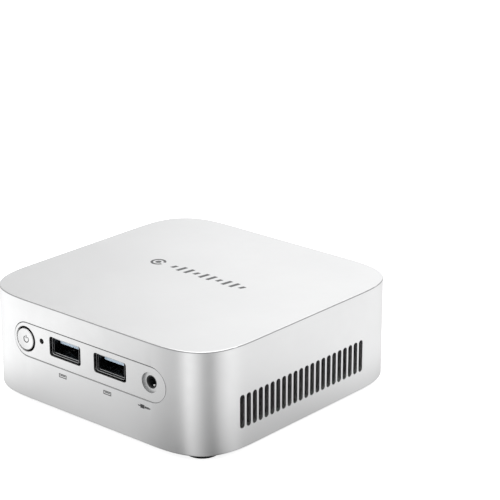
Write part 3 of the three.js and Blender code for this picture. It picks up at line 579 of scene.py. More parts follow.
def case_cutter():
    cutter = bmesh.new()
    for i in range(VENT_COUNT):
        y = VENT_FIRST_Y + i * VENT_PITCH
        slot = rounded_rect(y, VENT_Z, VENT_WIDTH, VENT_LENGTH, VENT_WIDTH / 2, 5)
        for side in (-1, 1):
            prism(cutter, slot, "X", side * (WIDTH / 2 - 5), side * (WIDTH / 2 + 1))
    near, far = REAR - 6, REAR + 1
    for side in ("left", "right"):
        centre = middle(f"rear_usb_shell_{side}")
        opening = rounded_rect(centre.x, centre.z, *REAR_USB_CUT, 0.8)
        prism(cutter, opening, "Y", near, far)
    for which, cut, both_corners in (("upper", UPPER_VIDEO_CUT, True), ("lower", LOWER_VIDEO_CUT, False)):
        centre = middle(f"{which}_video_port_shell")
        prism(cutter, video_outline(centre.x, centre.z, *cut, both_corners), "Y", near, far)
    jack = middle("power_jack")
    prism(cutter, circle(jack.x, jack.z, POWER_HOLE, 48), "Y", near, far)
    prism(cutter, rounded_rect(*LOCK_SLOT, 0.6), "Y", near, far)
    panel = rounded_rect(PANEL_X, PANEL_Z, PANEL_WIDTH + 2 * PANEL_PLAY, PANEL_HEIGHT + 2 * PANEL_PLAY,
                         PANEL_HEIGHT / 2 + PANEL_PLAY, 20)
    rim = [(-inset, place) for inset, place in eased(FRONT, FRONT + 6, PANEL_OPENING_EDGE, 3, both=False)]
    loft(cutter, panel, "Y", [(-PANEL_OPENING_EDGE, FRONT - 1)] + rim)
    socket = middle("ethernet_shell")
    prism(cutter, notched_outline(socket, *NETWORK_CUT, *NETWORK_LATCH), "Y", near, far)
    return cutter


def notched_outline(centre, half, low, high, notch_half, notch_low):
    """A network port: a rectangle with a notch for the plug's latch, by its distances from the centre."""
    points = [(-half, low), (-notch_half, low), (-notch_half, notch_low), (notch_half, notch_low),
              (notch_half, low), (half, low), (half, high), (-half, high)]
    return cornered([(centre.x + u, centre.z + v) for u, v in points])


def on_outer_wall(point):
    """True where a point lies on the outer side walls, between the rounded rims."""
    if not CASE_LOW.z + 1.5 < point.z < CASE_HIGH.z - 1.5:
        return False
    if WIDTH / 2 - abs(point.x) < 1.0:
        return abs(point.y) < REAR - 10
    return abs(surface_y(point.x) - abs(point.y)) < 0.05


def on_panel_opening(point):
    """True where a point lies on the front face's edge around the port panel."""
    aside = abs(point.x - PANEL_X) - PANEL_WIDTH / 2
    above = abs(point.z - PANEL_Z) - PANEL_HEIGHT / 2
    return point.y < FRONT + 0.01 and aside < 1 and above < 1


def port_wall(face, centre):
    """True for the cut faces through the rear wall."""
    return abs(face.normal.y) < 0.3 and centre.y > REAR - WALL - 0.1 and case_depth(centre) > 0.12


def case_shell():
    mesh = bmesh.new()
    low, high = CASE_LOW.z, CASE_HIGH.z
    rim = eased(low, high, LOWER_EDGE, 4, both=False)[:-1]
    crown = eased(high, low, OUTER_EDGE, 4, both=False)[:-1]
    inner = [(WALL, high - WALL), (WALL, low + 0.3), (WALL - 0.3, low)]
    loft(mesh, case_outline, "Z", inner + rim + crown[::-1])
    mesh = carved(mesh, case_cutter())
    soften(mesh, OPENING_EDGE, lambda point: on_outer_wall(point) and not on_panel_opening(point))
    for face in mesh.faces:
        centre = face.calc_center_median()
        inside = low + 0.5 < centre.z < high - WALL + 0.05
        shaded_crown_band = high - PAINTED_SHADE_CROWN_BAND[0] < centre.z < high - PAINTED_SHADE_CROWN_BAND[1] and case_depth(centre) < OUTER_EDGE
        panel_edge = FRONT < centre.y < FRONT + PANEL_OPENING_EDGE and face.normal.y > -0.99
        # Painted shade on the chamfer round the port panel: near black on its upper and left faces, as a
        # shadow gap, and darker metal on the rest. A band below the crown's top also gets darker metal, as
        # painted shade.
        if panel_edge and on_panel_opening(Vector((centre.x, FRONT, centre.z))):
            face.material_index = 1 if face.normal.z < -0.3 or face.normal.x < -0.3 else 2
        elif shaded_crown_band:
            face.material_index = 2
        elif port_wall(face, centre):
            face.material_index = 3
        # The case's inner walls get near black: painted shade.
        elif inside and case_depth(centre) > WALL - 0.05:
            face.material_index = 1
        else:
            face.material_index = 0
    materials = [CASE_METAL, PAINTED_SHADE_BLACK, SHADED_EDGE_METAL, RAW_CUT]
    piece("case_shell", mesh, materials, replaces=["top_shell"])


def case_depth(point):
    """About how far inside the outer wall a point lies, in plan."""
    from_side = WIDTH / 2 - abs(point.x)
    from_end = surface_y(min(abs(point.x), WIDTH / 2 - 0.01)) - abs(point.y)
    return min(from_side, from_end)


case_shell()


# ---- front panel and power button

PANEL_FACE = PANEL_LOW.y
PANEL_BACK = PANEL_HIGH.y
LIP_DEPTH = 1.0
BUTTON_LOW, BUTTON_HIGH = node_box("power_button")
BUTTON = middle("power_button")
BUTTON_RADIUS = 4.05
BUTTON_HOLE = 4.85
BUTTON_DISH = 0.35
BUTTON_DISH_RADIUS = 3.7
BUTTON_EDGE_DEPTH = 0.85
BUTTON_FLANGE = (BUTTON_HIGH.x - BUTTON_LOW.x) / 2
BUTTON_STEM = 1.6
DISH_STEPS = 12
LIGHT = middle("status_light_pipe")
LIGHT_RADIUS = 0.88
LIGHT_HOLE = 1.0
AUDIO_LOW, AUDIO_HIGH = node_box("audio_jack")
AUDIO = middle("audio_jack")
AUDIO_RECESS = 3.7
AUDIO_DEPTH = 1.0
AUDIO_NOZZLE = 2.25
AUDIO_BORE = 1.75
AUDIO_PLAY = 0.15
FRONT_USB_CUT = (15.65, 7.3)
FRONT_USB_CUT_DROP = 0.3


def port_panel():
    mesh = bmesh.new()
    outline = rounded_rect(PANEL_X, PANEL_Z - PANEL_DROP, PANEL_WIDTH, PANEL_HEIGHT, PANEL_HEIGHT / 2, 22)
    seat = PANEL_BACK - LIP_DEPTH
    rim = eased(PANEL_FACE, seat, 0.1, 3, both=False)
    loft(mesh, outline, "Y", rim + [(-PANEL_LIP, seat), (-PANEL_LIP, PANEL_BACK)])
    cutter = bmesh.new()
    near, far = PANEL_FACE - 1, PANEL_BACK + 1
    for side in ("left", "right"):
        centre = middle(f"front_usb_shell_{side}")
        opening = rounded_rect(centre.x, centre.z - FRONT_USB_CUT_DROP, *FRONT_USB_CUT, 1.0)
        prism(cutter, opening, "Y", near, far)
    edge = PANEL_FACE + BUTTON_EDGE_DEPTH
    loft(cutter, circle(BUTTON.x, BUTTON.z, BUTTON_HOLE, 96), "Y", [(0, near), (0, edge), (0, far)])
    prism(cutter, circle(LIGHT.x, LIGHT.z, LIGHT_HOLE, 32), "Y", near, far)
    recess = PANEL_FACE + AUDIO_DEPTH
    step = AUDIO_RECESS - AUDIO_NOZZLE - AUDIO_PLAY
    loft(cutter, circle(AUDIO.x, AUDIO.z, AUDIO_RECESS, 72), "Y",
         [(0, near), (0, recess), (step, recess), (step, far)])
    mesh = carved(mesh, cutter)
    soften(mesh, 0.13, lambda point: abs(point.y - PANEL_FACE) < 0.02)
    # The walls inside the openings get darker metal: painted shade.
    for face in mesh.faces:
        centre = face.calc_center_median()
        cut_wall = abs(face.normal.y) < 0.3 and PANEL_FACE + 0.1 < centre.y < PANEL_BACK
        from_side = PANEL_WIDTH / 2 - abs(centre.x - PANEL_X)
        from_top = PANEL_HEIGHT / 2 - abs(centre.z - PANEL_Z)
        face.material_index = 1 if cut_wall and min(from_side, from_top) > 0.5 else 0
        # The button hole's wall is bright white: painted light.
        if cut_wall and abs(centre.x - BUTTON.x) < BUTTON_HOLE + 0.1 and centre.y < edge:
            face.material_index = 2
    materials = [PANEL_METAL, SHADED_CUT_METAL, PAINTED_LIGHT_HOLE_WALL]
    piece("port_panel", mesh, materials, replaces=["front_port_panel"])


def power_button():
    """A dished aluminium cap on a black slider, which has a flange behind the panel and a stem."""
    mesh = bmesh.new()
    face = BUTTON_LOW.y
    flange = PANEL_BACK + 0.3
    cap_depth = 0.3
    profile = []
    for i in range(DISH_STEPS):
        share = max(i, 0.01) / DISH_STEPS
        profile.append((BUTTON_DISH_RADIUS * share, face + BUTTON_DISH * (1 - share * share)))
    profile += [
        (BUTTON_DISH_RADIUS, face + 0.01),
        (BUTTON_DISH_RADIUS + 0.08, face),
        (BUTTON_RADIUS - 0.14, face + 0.02),
        (BUTTON_RADIUS - 0.05, face + 0.08),
        (BUTTON_RADIUS, face + 0.18),
        (BUTTON_RADIUS, face + cap_depth),
        (BUTTON_RADIUS - 0.08, face + cap_depth + 0.04),
        (BUTTON_RADIUS - 0.08, flange),
        (BUTTON_FLANGE, flange),
        (BUTTON_FLANGE, flange + 1),
        (BUTTON_STEM, flange + 1),
        (BUTTON_STEM, BUTTON_HIGH.y - 0.3),
        (BUTTON_STEM - 0.3, BUTTON_HIGH.y),
        (0.01, BUTTON_HIGH.y),
    ]
    turned(mesh, BUTTON.x, BUTTON.z, "Y", profile, 96)
    for part in mesh.faces:
        centre = part.calc_center_median()
        aside = math.hypot(centre.x - BUTTON.x, centre.z - BUTTON.z)
        in_dish = aside < BUTTON_DISH_RADIUS and centre.y < flange
        part.material_index = 1 if centre.y > face + cap_depth + 0.01 and not in_dish else 0
    piece("button_cap", mesh, [PANEL_METAL, BLACK], "power_button", ["power_button"])


MARK_THICKNESS = 0.02
POWER_SIGN = (0.15, -0.05, 1.2, 0.34)  # (how far right and up of the button's middle, radius, stroke)


def flat_mark(mesh, points, axis, place, way):
    """A thin raised print in the shape of a polygon. way is the direction in which the surface faces."""
    prism(mesh, lambda inset: points, axis, place - way * MARK_THICKNESS, place + way * MARK_THICKNESS)


def arc_band(cx, cy, radius, stroke, start, end, steps=28):
    """A band along an arc, from start to end in degrees, as a polygon."""
    outer, inner = [], []
    for i in range(steps + 1):
        angle = math.radians(start + (end - start) * i / steps)
        for edge, reach in ((outer, radius + stroke / 2), (inner, radius - stroke / 2)):
            edge.append((cx + reach * math.cos(angle), cy + reach * math.sin(angle)))
    return outer + inner[::-1]


def bar(cx, cy, width, height, lean=0.0):
    """A bar as a polygon, whose top is pushed sideways by lean."""
    x, y = width / 2, height / 2
    bottom, top = cx - lean, cx + lean
    return [(bottom - x, cy - y), (bottom + x, cy - y), (top + x, cy + y), (top - x, cy + y)]


def power_sign():
    mesh = bmesh.new()
    right, up, radius, stroke = POWER_SIGN
    x, z = BUTTON.x + right, BUTTON.z + up
    reach = 1.25 * radius  # where the sign lies on the dish's surface
    place = BUTTON_LOW.y + BUTTON_DISH * (1 - (reach / BUTTON_DISH_RADIUS) ** 2)
    flat_mark(mesh, arc_band(x, z, radius, stroke, 130, 410), "Y", place, -1)
    flat_mark(mesh, bar(x, z + 0.8 * radius, stroke, radius), "Y", place, -1)
    piece("power_sign", mesh, DARK_INK, "power_button")


def light_pipe():
    low, high = node_box("status_light_pipe")
    mesh = bmesh.new()
    profile = [(0.01, low.y), (0.5, low.y + 0.04), (0.76, low.y + 0.16), (LIGHT_RADIUS, low.y + 0.38),
               (LIGHT_RADIUS, high.y), (0.01, high.y)]
    turned(mesh, LIGHT.x, LIGHT.z, "Y", profile, 32)
    piece("light_pipe", mesh, LENS, replaces=["status_light_pipe"])


port_panel()
power_button()
power_sign()
light_pipe()


# ---- sockets

USB_WALL = 0.35
USB_BODY = (13.2, 5.8)
USB_FLARE = (0.3, 0.78)  # how much wider and higher the rim is than the body
USB_RIDGE = 0.6
USB_WINDOW_X = 3.1
USB_TONGUE = (11.2, 1.84, 0.45)  # (width, thickness, gap above it)
USB_TONGUE_TIP = 2.6
REAR_USB_TURN = Matrix(((0, 0, -1), (0, -1, 0), (-1, 0, 0))).to_4x4()
# (turn round the bore in degrees, depth, inner radius) of each
AUDIO_CONTACTS = ((144, 0.3, 1.1), (-35, 2.2, 1.33), (150, 4.5, 1.33), (90, 7.0, 1.33))
VIDEO_PINS = 10
VIDEO_WINDOW_X = 3.3
WINDOW_REACH = 0.6  # how far the cutter of a window stands off its wall
NETWORK_WIRES = 8
INLET_BORE = 3.2


def usb_outline(width, height):
    """A shell's outline. An inset of -1 is the flared rim, and an inset over 0 lies inside the body."""
    def outline(inset):
        flare = max(-inset, 0)
        wide, high = width + USB_FLARE[0] * flare, height + USB_FLARE[1] * flare
        return rounded_rect(0, 0, wide, high, 0.6 + 0.2 * flare, 4)(max(inset, 0))
    return outline


def with_windows(shell, centre, away, half, start, end):
    """The shell with two windows through each of its long walls. They run from start to end along Y."""
    cutter = bmesh.new()
    for x in (centre[0] - away[0], centre[0] + away[0]):
        for z in (centre[1] - away[1], centre[1] + away[1]):
            box(cutter, (x - half, start, z - WINDOW_REACH), (x + half, end, z + WINDOW_REACH))
    return carved(shell, cutter)


def node_outline(node):
    """The outline of a node's box as seen from the rear, with small rounded corners."""
    low, high = node_box(node)
    centre = middle(node)
    return rounded_rect(centre.x, centre.z, high.x - low.x, high.z - low.z, 0.5, 3)


def usb_shell(depth):
    """A folded shell with a flared rim and a spring in each of its four windows."""
    shell = bmesh.new()
    loft(shell, usb_outline(*USB_BODY), "Y", [
        (0, 1.3), (-0.5, 0.6), (-0.96, 0.12), (-1, 0.05), (-0.95, 0), (-0.55, 0), (-0.45, 0.04), (-0.2, 0.25),
        (0.04, 0.5), (0.08, USB_RIDGE), (USB_WALL - 0.05, USB_RIDGE), (USB_WALL, USB_RIDGE + 0.12),
        (USB_WALL, depth), (0, depth),
    ], closed=True)
    top = USB_BODY[1] / 2
    shell = with_windows(shell, (0, 0), (USB_WINDOW_X, top), 1.25, 2.2, 8.4)
    for x in (-USB_WINDOW_X, USB_WINDOW_X):
        for way in (-1, 1):
            spring(shell, x, way * (top - 0.2), -way)
    shell.normal_update()
    # Only the faces that look out at the mouth keep bright steel; the inner walls get near-black steel as
    # painted shade.
    for face in shell.faces:
        faces_out = face.normal.y < -0.9 and face.calc_center_median().y < USB_RIDGE + 0.05
        face.material_index = 0 if faces_out else 1
    return shell


def usb_tongue(depth):
    """The tongue and the block that holds it at the back of the shell."""
    tongue = bmesh.new()
    x, z = (side / 2 - USB_WALL - 0.1 for side in USB_BODY)
    box(tongue, (-x, depth - 4.5, -z), (x, depth - 0.2, z))
    width, thick, drop = USB_TONGUE
    slab = rounded_rect(0, USB_BODY[1] / 2 - USB_WALL - drop - thick / 2, width, thick, 0.25, 3)
    tip = USB_TONGUE_TIP
    loft(tongue, slab, "Y", [(0.35, tip), (0.12, tip + 0.15), (0, tip + 0.5), (0, depth - 4)])
    for face in tongue.faces:
        face.material_index = 1 if face.calc_center_median().y > depth - 4.6 else 0
    return tongue


def usb_contacts(depth):
    """Four long contacts under the tongue, and five short ones near its tip."""
    contacts = bmesh.new()
    thick, drop = USB_TONGUE[1:]
    under = USB_BODY[1] / 2 - USB_WALL - drop - thick
    start = USB_TONGUE_TIP + 0.8
    for x in (-3.5, -1.0, 1.0, 3.5):
        box(contacts, (x - 0.5, 4.6, under - 0.05), (x + 0.5, depth - 4.6, under + 0.1))
    for x in (-4, -2, 0, 2, 4):
        box(contacts, (x - 0.4, start, under - 0.05), (x + 0.4, start + 1, under + 0.1))
    return contacts


def usb_socket(end, side, turn, tongue_colour, tongue_slot):
    """A USB-A socket. Its parts are built with the mouth at y = 0, and then turned and moved into place."""
    shell_node = f"{end}_usb_shell_{side}"
    low, high = node_box(shell_node)
    centre = middle(shell_node)
    stand = Matrix.Translation((centre.x, low.y if end == "front" else high.y, centre.z)) @ turn
    depth = high.y - low.y
    for part, mesh, materials, replaced, slot in (
        ("shell", usb_shell(depth), [STEEL, SHADE_AND_BLACKENED_STEEL], [shell_node], "connector_steel"),
        ("tongue", usb_tongue(depth), [tongue_colour, BLACK], [f"{end}_usb_tongue_{side}"], tongue_slot),
        ("contacts", usb_contacts(depth), GOLD, [], "brass"),
    ):
        bmesh.ops.transform(mesh, matrix=stand, verts=mesh.verts)
        piece(f"{end}_{side}_usb_{part}", mesh, materials, replaces=replaced)


def spring(mesh, x, z, way):
    """A leaf spring in a window of a shell wall, that bends inwards and back out again."""
    stations = 9
    loops = []
    for i in range(stations):
        share = i / (stations - 1)
        y = 2.5 + share * 6.0
        centre = z + way * 0.5 * math.sin(math.pi * min(share * 1.25, 1)) ** 1.5
        section = ((-0.8, -0.1), (0.8, -0.1), (0.8, 0.1), (-0.8, 0.1))
        loops.append([mesh.verts.new((x + u, y, centre + v)) for u, v in section])
    skin(mesh, loops)


def audio_jack():
    mesh = bmesh.new()
    low, high = AUDIO_LOW, AUDIO_HIGH
    body_front = PANEL_BACK + 0.4
    box(mesh, (low.x, body_front, low.z), (high.x, high.y, high.z), 0.3)
    bore = bmesh.new()
    prism(bore, circle(AUDIO.x, AUDIO.z, AUDIO_BORE, 48), "Y", body_front - 1, high.y - 1.5)
    mesh = carved(mesh, bore)
    wall = AUDIO_NOZZLE - AUDIO_BORE
    loft(mesh, circle(AUDIO.x, AUDIO.z, AUDIO_NOZZLE, 56), "Y", [
        (0, low.y + 0.1), (0, body_front + 0.05), (wall, body_front + 0.05), (wall, low.y + 0.45),
        (0.36, low.y + 0.08), (0.1, low.y + 0.02),
    ], closed=True)
    piece("audio_socket", mesh, BLACK, replaces=["audio_jack"])
    contacts = bmesh.new()
    for angle, start, inner in AUDIO_CONTACTS:
        leaf = bmesh.new()
        box(leaf, (-0.45, low.y + start, inner), (0.45, low.y + start + 2.2, AUDIO_BORE - 0.12), 0.1)
        turn = Matrix.Rotation(math.radians(angle), 4, "Y")
        join_moved(contacts, leaf, Matrix.Translation((AUDIO.x, 0, AUDIO.z)) @ turn)
    piece("audio_contacts", contacts, NICKEL)


def video_socket(which, both_corners):
    shell_node, tongue_node = f"{which}_video_port_shell", f"{which}_video_port_tongue"
    low, high = node_box(shell_node)
    centre, size = middle(shell_node), high - low
    mouth, back = high.y, low.y
    shell = bmesh.new()
    outline = video_outline(centre.x, centre.z, size.x, size.z, both_corners)
    loft(shell, outline, "Y", [
        (0, back), (0, mouth - 0.12), (0.08, mouth), (0.27, mouth), (0.35, mouth - 0.12), (0.35, back),
    ], closed=True)
    away = (VIDEO_WINDOW_X, size.z / 2)
    shell = with_windows(shell, (centre.x, centre.z), away, 1.0, mouth - 6.8, mouth - 1.8)
    piece(f"{which}_video_shell", shell, STEEL, replaces=[shell_node])
    tongue = bmesh.new()
    low, high = node_box(tongue_node)
    box(tongue, (low.x, back + 0.2, low.z), (high.x, back + 3, high.z))
    half = (high.x - low.x) / 2 - 0.4
    tip = high.y
    slab = rounded_rect(centre.x, centre.z, 2 * half, 1.5, 0.2, 3)
    loft(tongue, slab, "Y", [(0, back + 2), (0, tip - 0.4), (0.1, tip - 0.1), (0.25, tip)])
    piece(f"{which}_video_tongue", tongue, GREY, replaces=[tongue_node])
    contacts = bmesh.new()
    pitch = 2 * (half - 0.6) / (VIDEO_PINS - 1)
    for i in range(VIDEO_PINS):
        x = centre.x - half + 0.6 + i * pitch
        for z in (centre.z - 0.75, centre.z + 0.75):
            box(contacts, (x - 0.14, back + 3, z - 0.05), (x + 0.14, tip - 0.7, z + 0.05))
    piece(f"{which}_video_contacts", contacts, GOLD)


def network_socket():
    low, high = node_box("ethernet_shell")
    centre = middle("ethernet_shell")
    wall = 0.4
    shell = bmesh.new()
    loft(shell, node_outline("ethernet_shell"), "Y", [
        (0, low.y), (0, high.y - 0.12), (0.1, high.y), (wall - 0.08, high.y), (wall, high.y - 0.1),
        (wall, low.y + 1),
    ])
    piece("network_shell", shell, STEEL, replaces=["ethernet_shell"])
    low, high = node_box("ethernet_socket")
    face = high.y
    body = bmesh.new()
    box(body, low, high)
    cutter = bmesh.new()
    prism(cutter, notched_outline(centre, *NETWORK_PLUG, *NETWORK_PLUG_LATCH), "Y", face - 13, face + 1)
    body = carved(body, cutter)
    soften(body, 0.25, lambda point: abs(point.y - face) < 0.01 and abs(point.x - centre.x) < 6.2
           and abs(point.z - centre.z) < 5)
    piece("network_body", body, BLACK, replaces=["ethernet_socket"])
    wires = bmesh.new()
    route = [(face - depth, centre.z + rise) for depth, rise in
             ((1.6, 4.15), (2.2, 3.9), (4, 3.1), (8.5, 0.6), (9.2, 0.4))]
    for i in range(NETWORK_WIRES):
        bent_wire(wires, centre.x + (i - (NETWORK_WIRES - 1) / 2) * 1.02, route, 0.2)
    piece("network_contacts", wires, GOLD)
    lamps = bmesh.new()
    for side in (-1, 1):
        x, z = centre.x + side * 5.35, centre.z - 4.75
        box(lamps, (x - 1.3, face - 3, z - 0.95), (x + 1.3, face + 0.05, z + 0.95), 0.2)
    piece("network_lamps", lamps, WHITE)


def bent_wire(mesh, x, route, radius, sides=8):
    """A round wire in a plane of constant x, through the points (y, z) of the route."""
    loops = []
    for i, (y, z) in enumerate(route):
        before = Vector(route[max(i - 1, 0)])
        after = Vector(route[min(i + 1, len(route) - 1)])
        along = (after - before).normalized()
        loop = []
        for k in range(sides):
            angle = k / sides * 2 * math.pi
            out = radius * math.sin(angle)
            loop.append(mesh.verts.new((x + radius * math.cos(angle), y - along.y * out, z + along.x * out)))
        loops.append(loop)
    skin(mesh, loops)


def power_inlet():
    low, high = node_box("power_jack")
    centre = middle("power_jack")
    body = bmesh.new()
    loft(body, node_outline("power_jack"), "Y", eased(low.y, high.y, 0.2, 2))
    bore = bmesh.new()
    prism(bore, circle(centre.x, centre.z, INLET_BORE, 64), "Y", high.y - 9, high.y + 1)
    body = carved(body, bore)
    soften(body, 0.35, lambda point: abs(point.y - high.y) < 0.01
           and math.hypot(point.x - centre.x, point.z - centre.z) < INLET_BORE + 0.1)
    piece("power_inlet", body, BLACK, replaces=["power_jack"])
    leaf = bmesh.new()
    x, y, z = centre.x, high.y, centre.z
    box(leaf, (x - 0.9, y - 7, z - 3.15), (x + 0.9, y - 2.4, z - 2.75), 0.12)
    low, high = node_box("power_jack_pin")
    radius = (high.x - low.x) / 2
    pin = bmesh.new()
    turned(pin, x, z, "Y", [
        (0.01, low.y), (radius, low.y), (radius, high.y - 0.7), (radius * 0.8, high.y - 0.3),
        (radius * 0.45, high.y), (0.01, high.y),
    ], 40)
    piece("power_inlet_pin", pin, STEEL, replaces=["power_jack_pin"])
    piece("power_inlet_spring", leaf, STEEL)


for side in ("left", "right"):
    usb_socket("front", side, Matrix.Identity(4), BLUE, "blue_plastic")
    usb_socket("rear", side, REAR_USB_TURN, BLACK, "black_plastic")
audio_jack()
video_socket("upper", True)
video_socket("lower", False)
network_socket()
power_inlet()


# ---- underside

COVER_PLAY = 0.25
INTAKE_RADIUS = 28
INTAKE_PITCH = 5
INTAKE_WIDTH = 2.6
INTAKE_RIB = 1.6
FOOT_RECESS = 6.5
COOLER_Y = -2
SCREW_CORNERS = ("front_left", "front_right", "rear_left", "rear_right")
SCREW_HEAD = 1.7
SCREW_PITCH = 0.5
SCREW_CROSS = (0.56, 0.34)  # (length of an arm as a share of the head's radius, half of its width)
COVER_SHANK = 1.25
COOLER_SHANK = 1.2


def bottom_cover():
    low, high = node_box("bottom_cover")
    plate_top = low.z + 2
    mesh = bmesh.new()
    edge = WALL + COVER_PLAY
    stations = [(edge + inset, place) for inset, place in eased(low.z, plate_top, 0.25, 2)]
    loft(mesh, case_outline, "Z", stations)
    cutter = bmesh.new()
    rows = int(INTAKE_RADIUS // INTAKE_PITCH)
    for row in range(-rows, rows + 1):
        y = row * INTAKE_PITCH
        length = math.sqrt(INTAKE_RADIUS ** 2 - y ** 2) - INTAKE_RIB
        for side in (-1, 1):
            x = side * (INTAKE_RIB + length / 2)
            slot = rounded_rect(x, COOLER_Y + y, length, INTAKE_WIDTH, INTAKE_WIDTH / 2, 5)
            prism(cutter, slot, "Z", low.z - 1, plate_top + 1)
    for corner in SCREW_CORNERS:
        hole = middle(f"cover_screw_{corner}")
        seat = middle(f"foot_{corner}")
        prism(cutter, circle(hole.x, hole.y, 3.1, 40), "Z", low.z - 1, plate_top - 0.4)
        prism(cutter, circle(hole.x, hole.y, 1.5, 24), "Z", low.z, plate_top + 1)
        prism(cutter, circle(seat.x, seat.y, FOOT_RECESS, 56), "Z", low.z - 1, low.z + 0.5)
    mesh = carved(mesh, cutter)
    soften(mesh, 0.2, lambda point: abs(point.z - low.z) < 0.01)
    for corner in SCREW_CORNERS:
        hole = middle(f"cover_screw_{corner}")
        loft(mesh, circle(hole.x, hole.y, 4, 32), "Z",
             [(0, plate_top + 0.02), (0, high.z - 0.2), (0.2, high.z), (2.2, high.z), (2.4, high.z - 0.2),
              (2.4, plate_top + 0.02)], closed=True)
    piece("bottom_cover_plate", mesh, COVER_PLASTIC, replaces=["bottom_cover"])


def foot(corner):
    node = f"foot_{corner}"
    low, high = node_box(node)
    centre = middle(node)
    radius = (high.x - low.x) / 2
    mesh = bmesh.new()
    profile = [(0.02, low.z + 0.25), (2.6, low.z + 0.22), (3.3, low.z + 0.05), (3.8, low.z),
               (radius - 1.1, low.z), (radius - 0.6, low.z + 0.08), (radius - 0.25, low.z + 0.3),
               (radius - 0.06, low.z + 0.65), (radius, low.z + 1.1), (radius, high.z), (0.02, high.z)]
    turned(mesh, centre.x, centre.y, "Z", profile, 64)
    piece(f"rubber_foot_{corner}", mesh, RUBBER, replaces=[node])


def screw(node, shank):
    """A pan-head screw that stands on its head, with a cross recess and a threaded shank."""
    low, high = node_box(node)
    centre = middle(node)
    radius = (high.x - low.x) / 2
    seat = low.z + SCREW_HEAD
    mesh = bmesh.new()
    crown = eased(low.z, seat, 0.45, 4, both=False)
    profile = [(0.01, low.z)] + [(radius - inset, place) for inset, place in crown] + [(shank, seat)]
    core = shank - 0.18
    for i in range(int((high.z - seat - 0.6) / SCREW_PITCH)):
        start = seat + 0.2 + i * SCREW_PITCH
        profile += [(core, start), (shank, start + 0.22), (shank, start + 0.28), (core, start + 0.48)]
    profile += [(shank - 0.4, high.z), (0.01, high.z)]
    turned(mesh, centre.x, centre.y, "Z", profile, 32)
    cross = bmesh.new()
    arm, half = radius * SCREW_CROSS[0], SCREW_CROSS[1]
    plus = []
    for c, s in ((1, 0), (0, 1), (-1, 0), (0, -1)):
        for u, v in ((arm, -half), (arm, half), (half, half)):
            plus.append((centre.x + u * c - v * s, centre.y + u * s + v * c))
    loft(cross, cornered(plus), "Z", [(-0.05, low.z - 0.5), (0, low.z), (0.22, low.z + 0.9)])
    piece(node + "_fine", carved(mesh, cross), SCREW_STEEL, replaces=[node])


bottom_cover()
for corner in SCREW_CORNERS:
    foot(corner)
    screw(f"cover_screw_{corner}", COVER_SHANK)
    screw(f"cooler_screw_{corner}", COOLER_SHANK)


# ---- fan

FAN_HUB = 12.0
FAN_HUB_ENDS = (6.5, 12.5)
FAN_TIP = 26.4
FAN_BLADES = 9
FAN_BORE = 28
BLADE_Z = 9.6
BLADE_RISE = 2.45
STATOR_SEAT = (8.6, 3.1)  # (its underside, its inner radius)


def fan_rotor():
    low, high = node_box("fan_rotor")
    hub = FAN_HUB
    bottom, top = FAN_HUB_ENDS
    mesh = bmesh.new()
    turned(mesh, 0, COOLER_Y, "Z", [
        (0.02, bottom + 0.15), (6.5, bottom + 0.15), (6.8, bottom), (hub - 1, bottom),
        (hub - 0.3, bottom + 0.25), (hub, bottom + 0.8), (hub, top), (hub - 1.2, top),
        (hub - 1.2, bottom + 1.1), (1.2, bottom + 1.1), (1.2, high.z), (0.02, high.z),
    ], 72)
    for i in range(FAN_BLADES):
        fan_blade(mesh, i / FAN_BLADES * 2 * math.pi, hub - 0.4, FAN_TIP)
    piece("fan_wheel", mesh, FAN, "fan", ["fan_rotor"], angle=40)


def fan_blade(mesh, angle, root, tip):
    """A swept blade that leans less towards its tip, 1 mm thick in the middle and thin at its edges."""
    across, along = 8, 8
    sheets = []
    for side in (-1, 1):
        sheet = []
        for i in range(along + 1):
            reach = i / along
            radius = root + (tip - root) * reach
            lean = 0.75 - 0.2 * reach
            row = []
            for j in range(across + 1):
                share = j / across * 2 - 1
                rise = share * BLADE_RISE
                thick = 0.5 * math.sqrt(max(1 - share * share, 0)) + 0.06
                y = rise * math.tan(lean) / 0.55 + reach * reach * 4.5 + side * thick
                x = math.sqrt(max(radius ** 2 - y ** 2, 1))
                row.append(mesh.verts.new((x, y, BLADE_Z + rise + 0.5 * (1 - share * share))))
            sheet.append(row)
        sheets.append(sheet)
    lower, upper = sheets
    faces = []
    for i in range(along):
        for j in range(across):
            for sheet in sheets:
                near, far = sheet[i], sheet[i + 1]
                faces.append(mesh.faces.new((near[j], far[j], far[j + 1], near[j + 1])))
    for i in range(along):
        for j in (0, across):
            faces.append(mesh.faces.new((lower[i][j], lower[i + 1][j], upper[i + 1][j], upper[i][j])))
    for j in range(across):
        for i in (0, along):
            faces.append(mesh.faces.new((lower[i][j], lower[i][j + 1], upper[i][j + 1], upper[i][j])))
    bmesh.ops.recalc_face_normals(mesh, faces=faces)
    verts = [v for sheet in sheets for row in sheet for v in row]
    turn = Matrix.Translation((0, COOLER_Y, 0)) @ Matrix.Rotation(angle, 4, "Z")
    bmesh.ops.transform(mesh, matrix=turn, verts=verts)


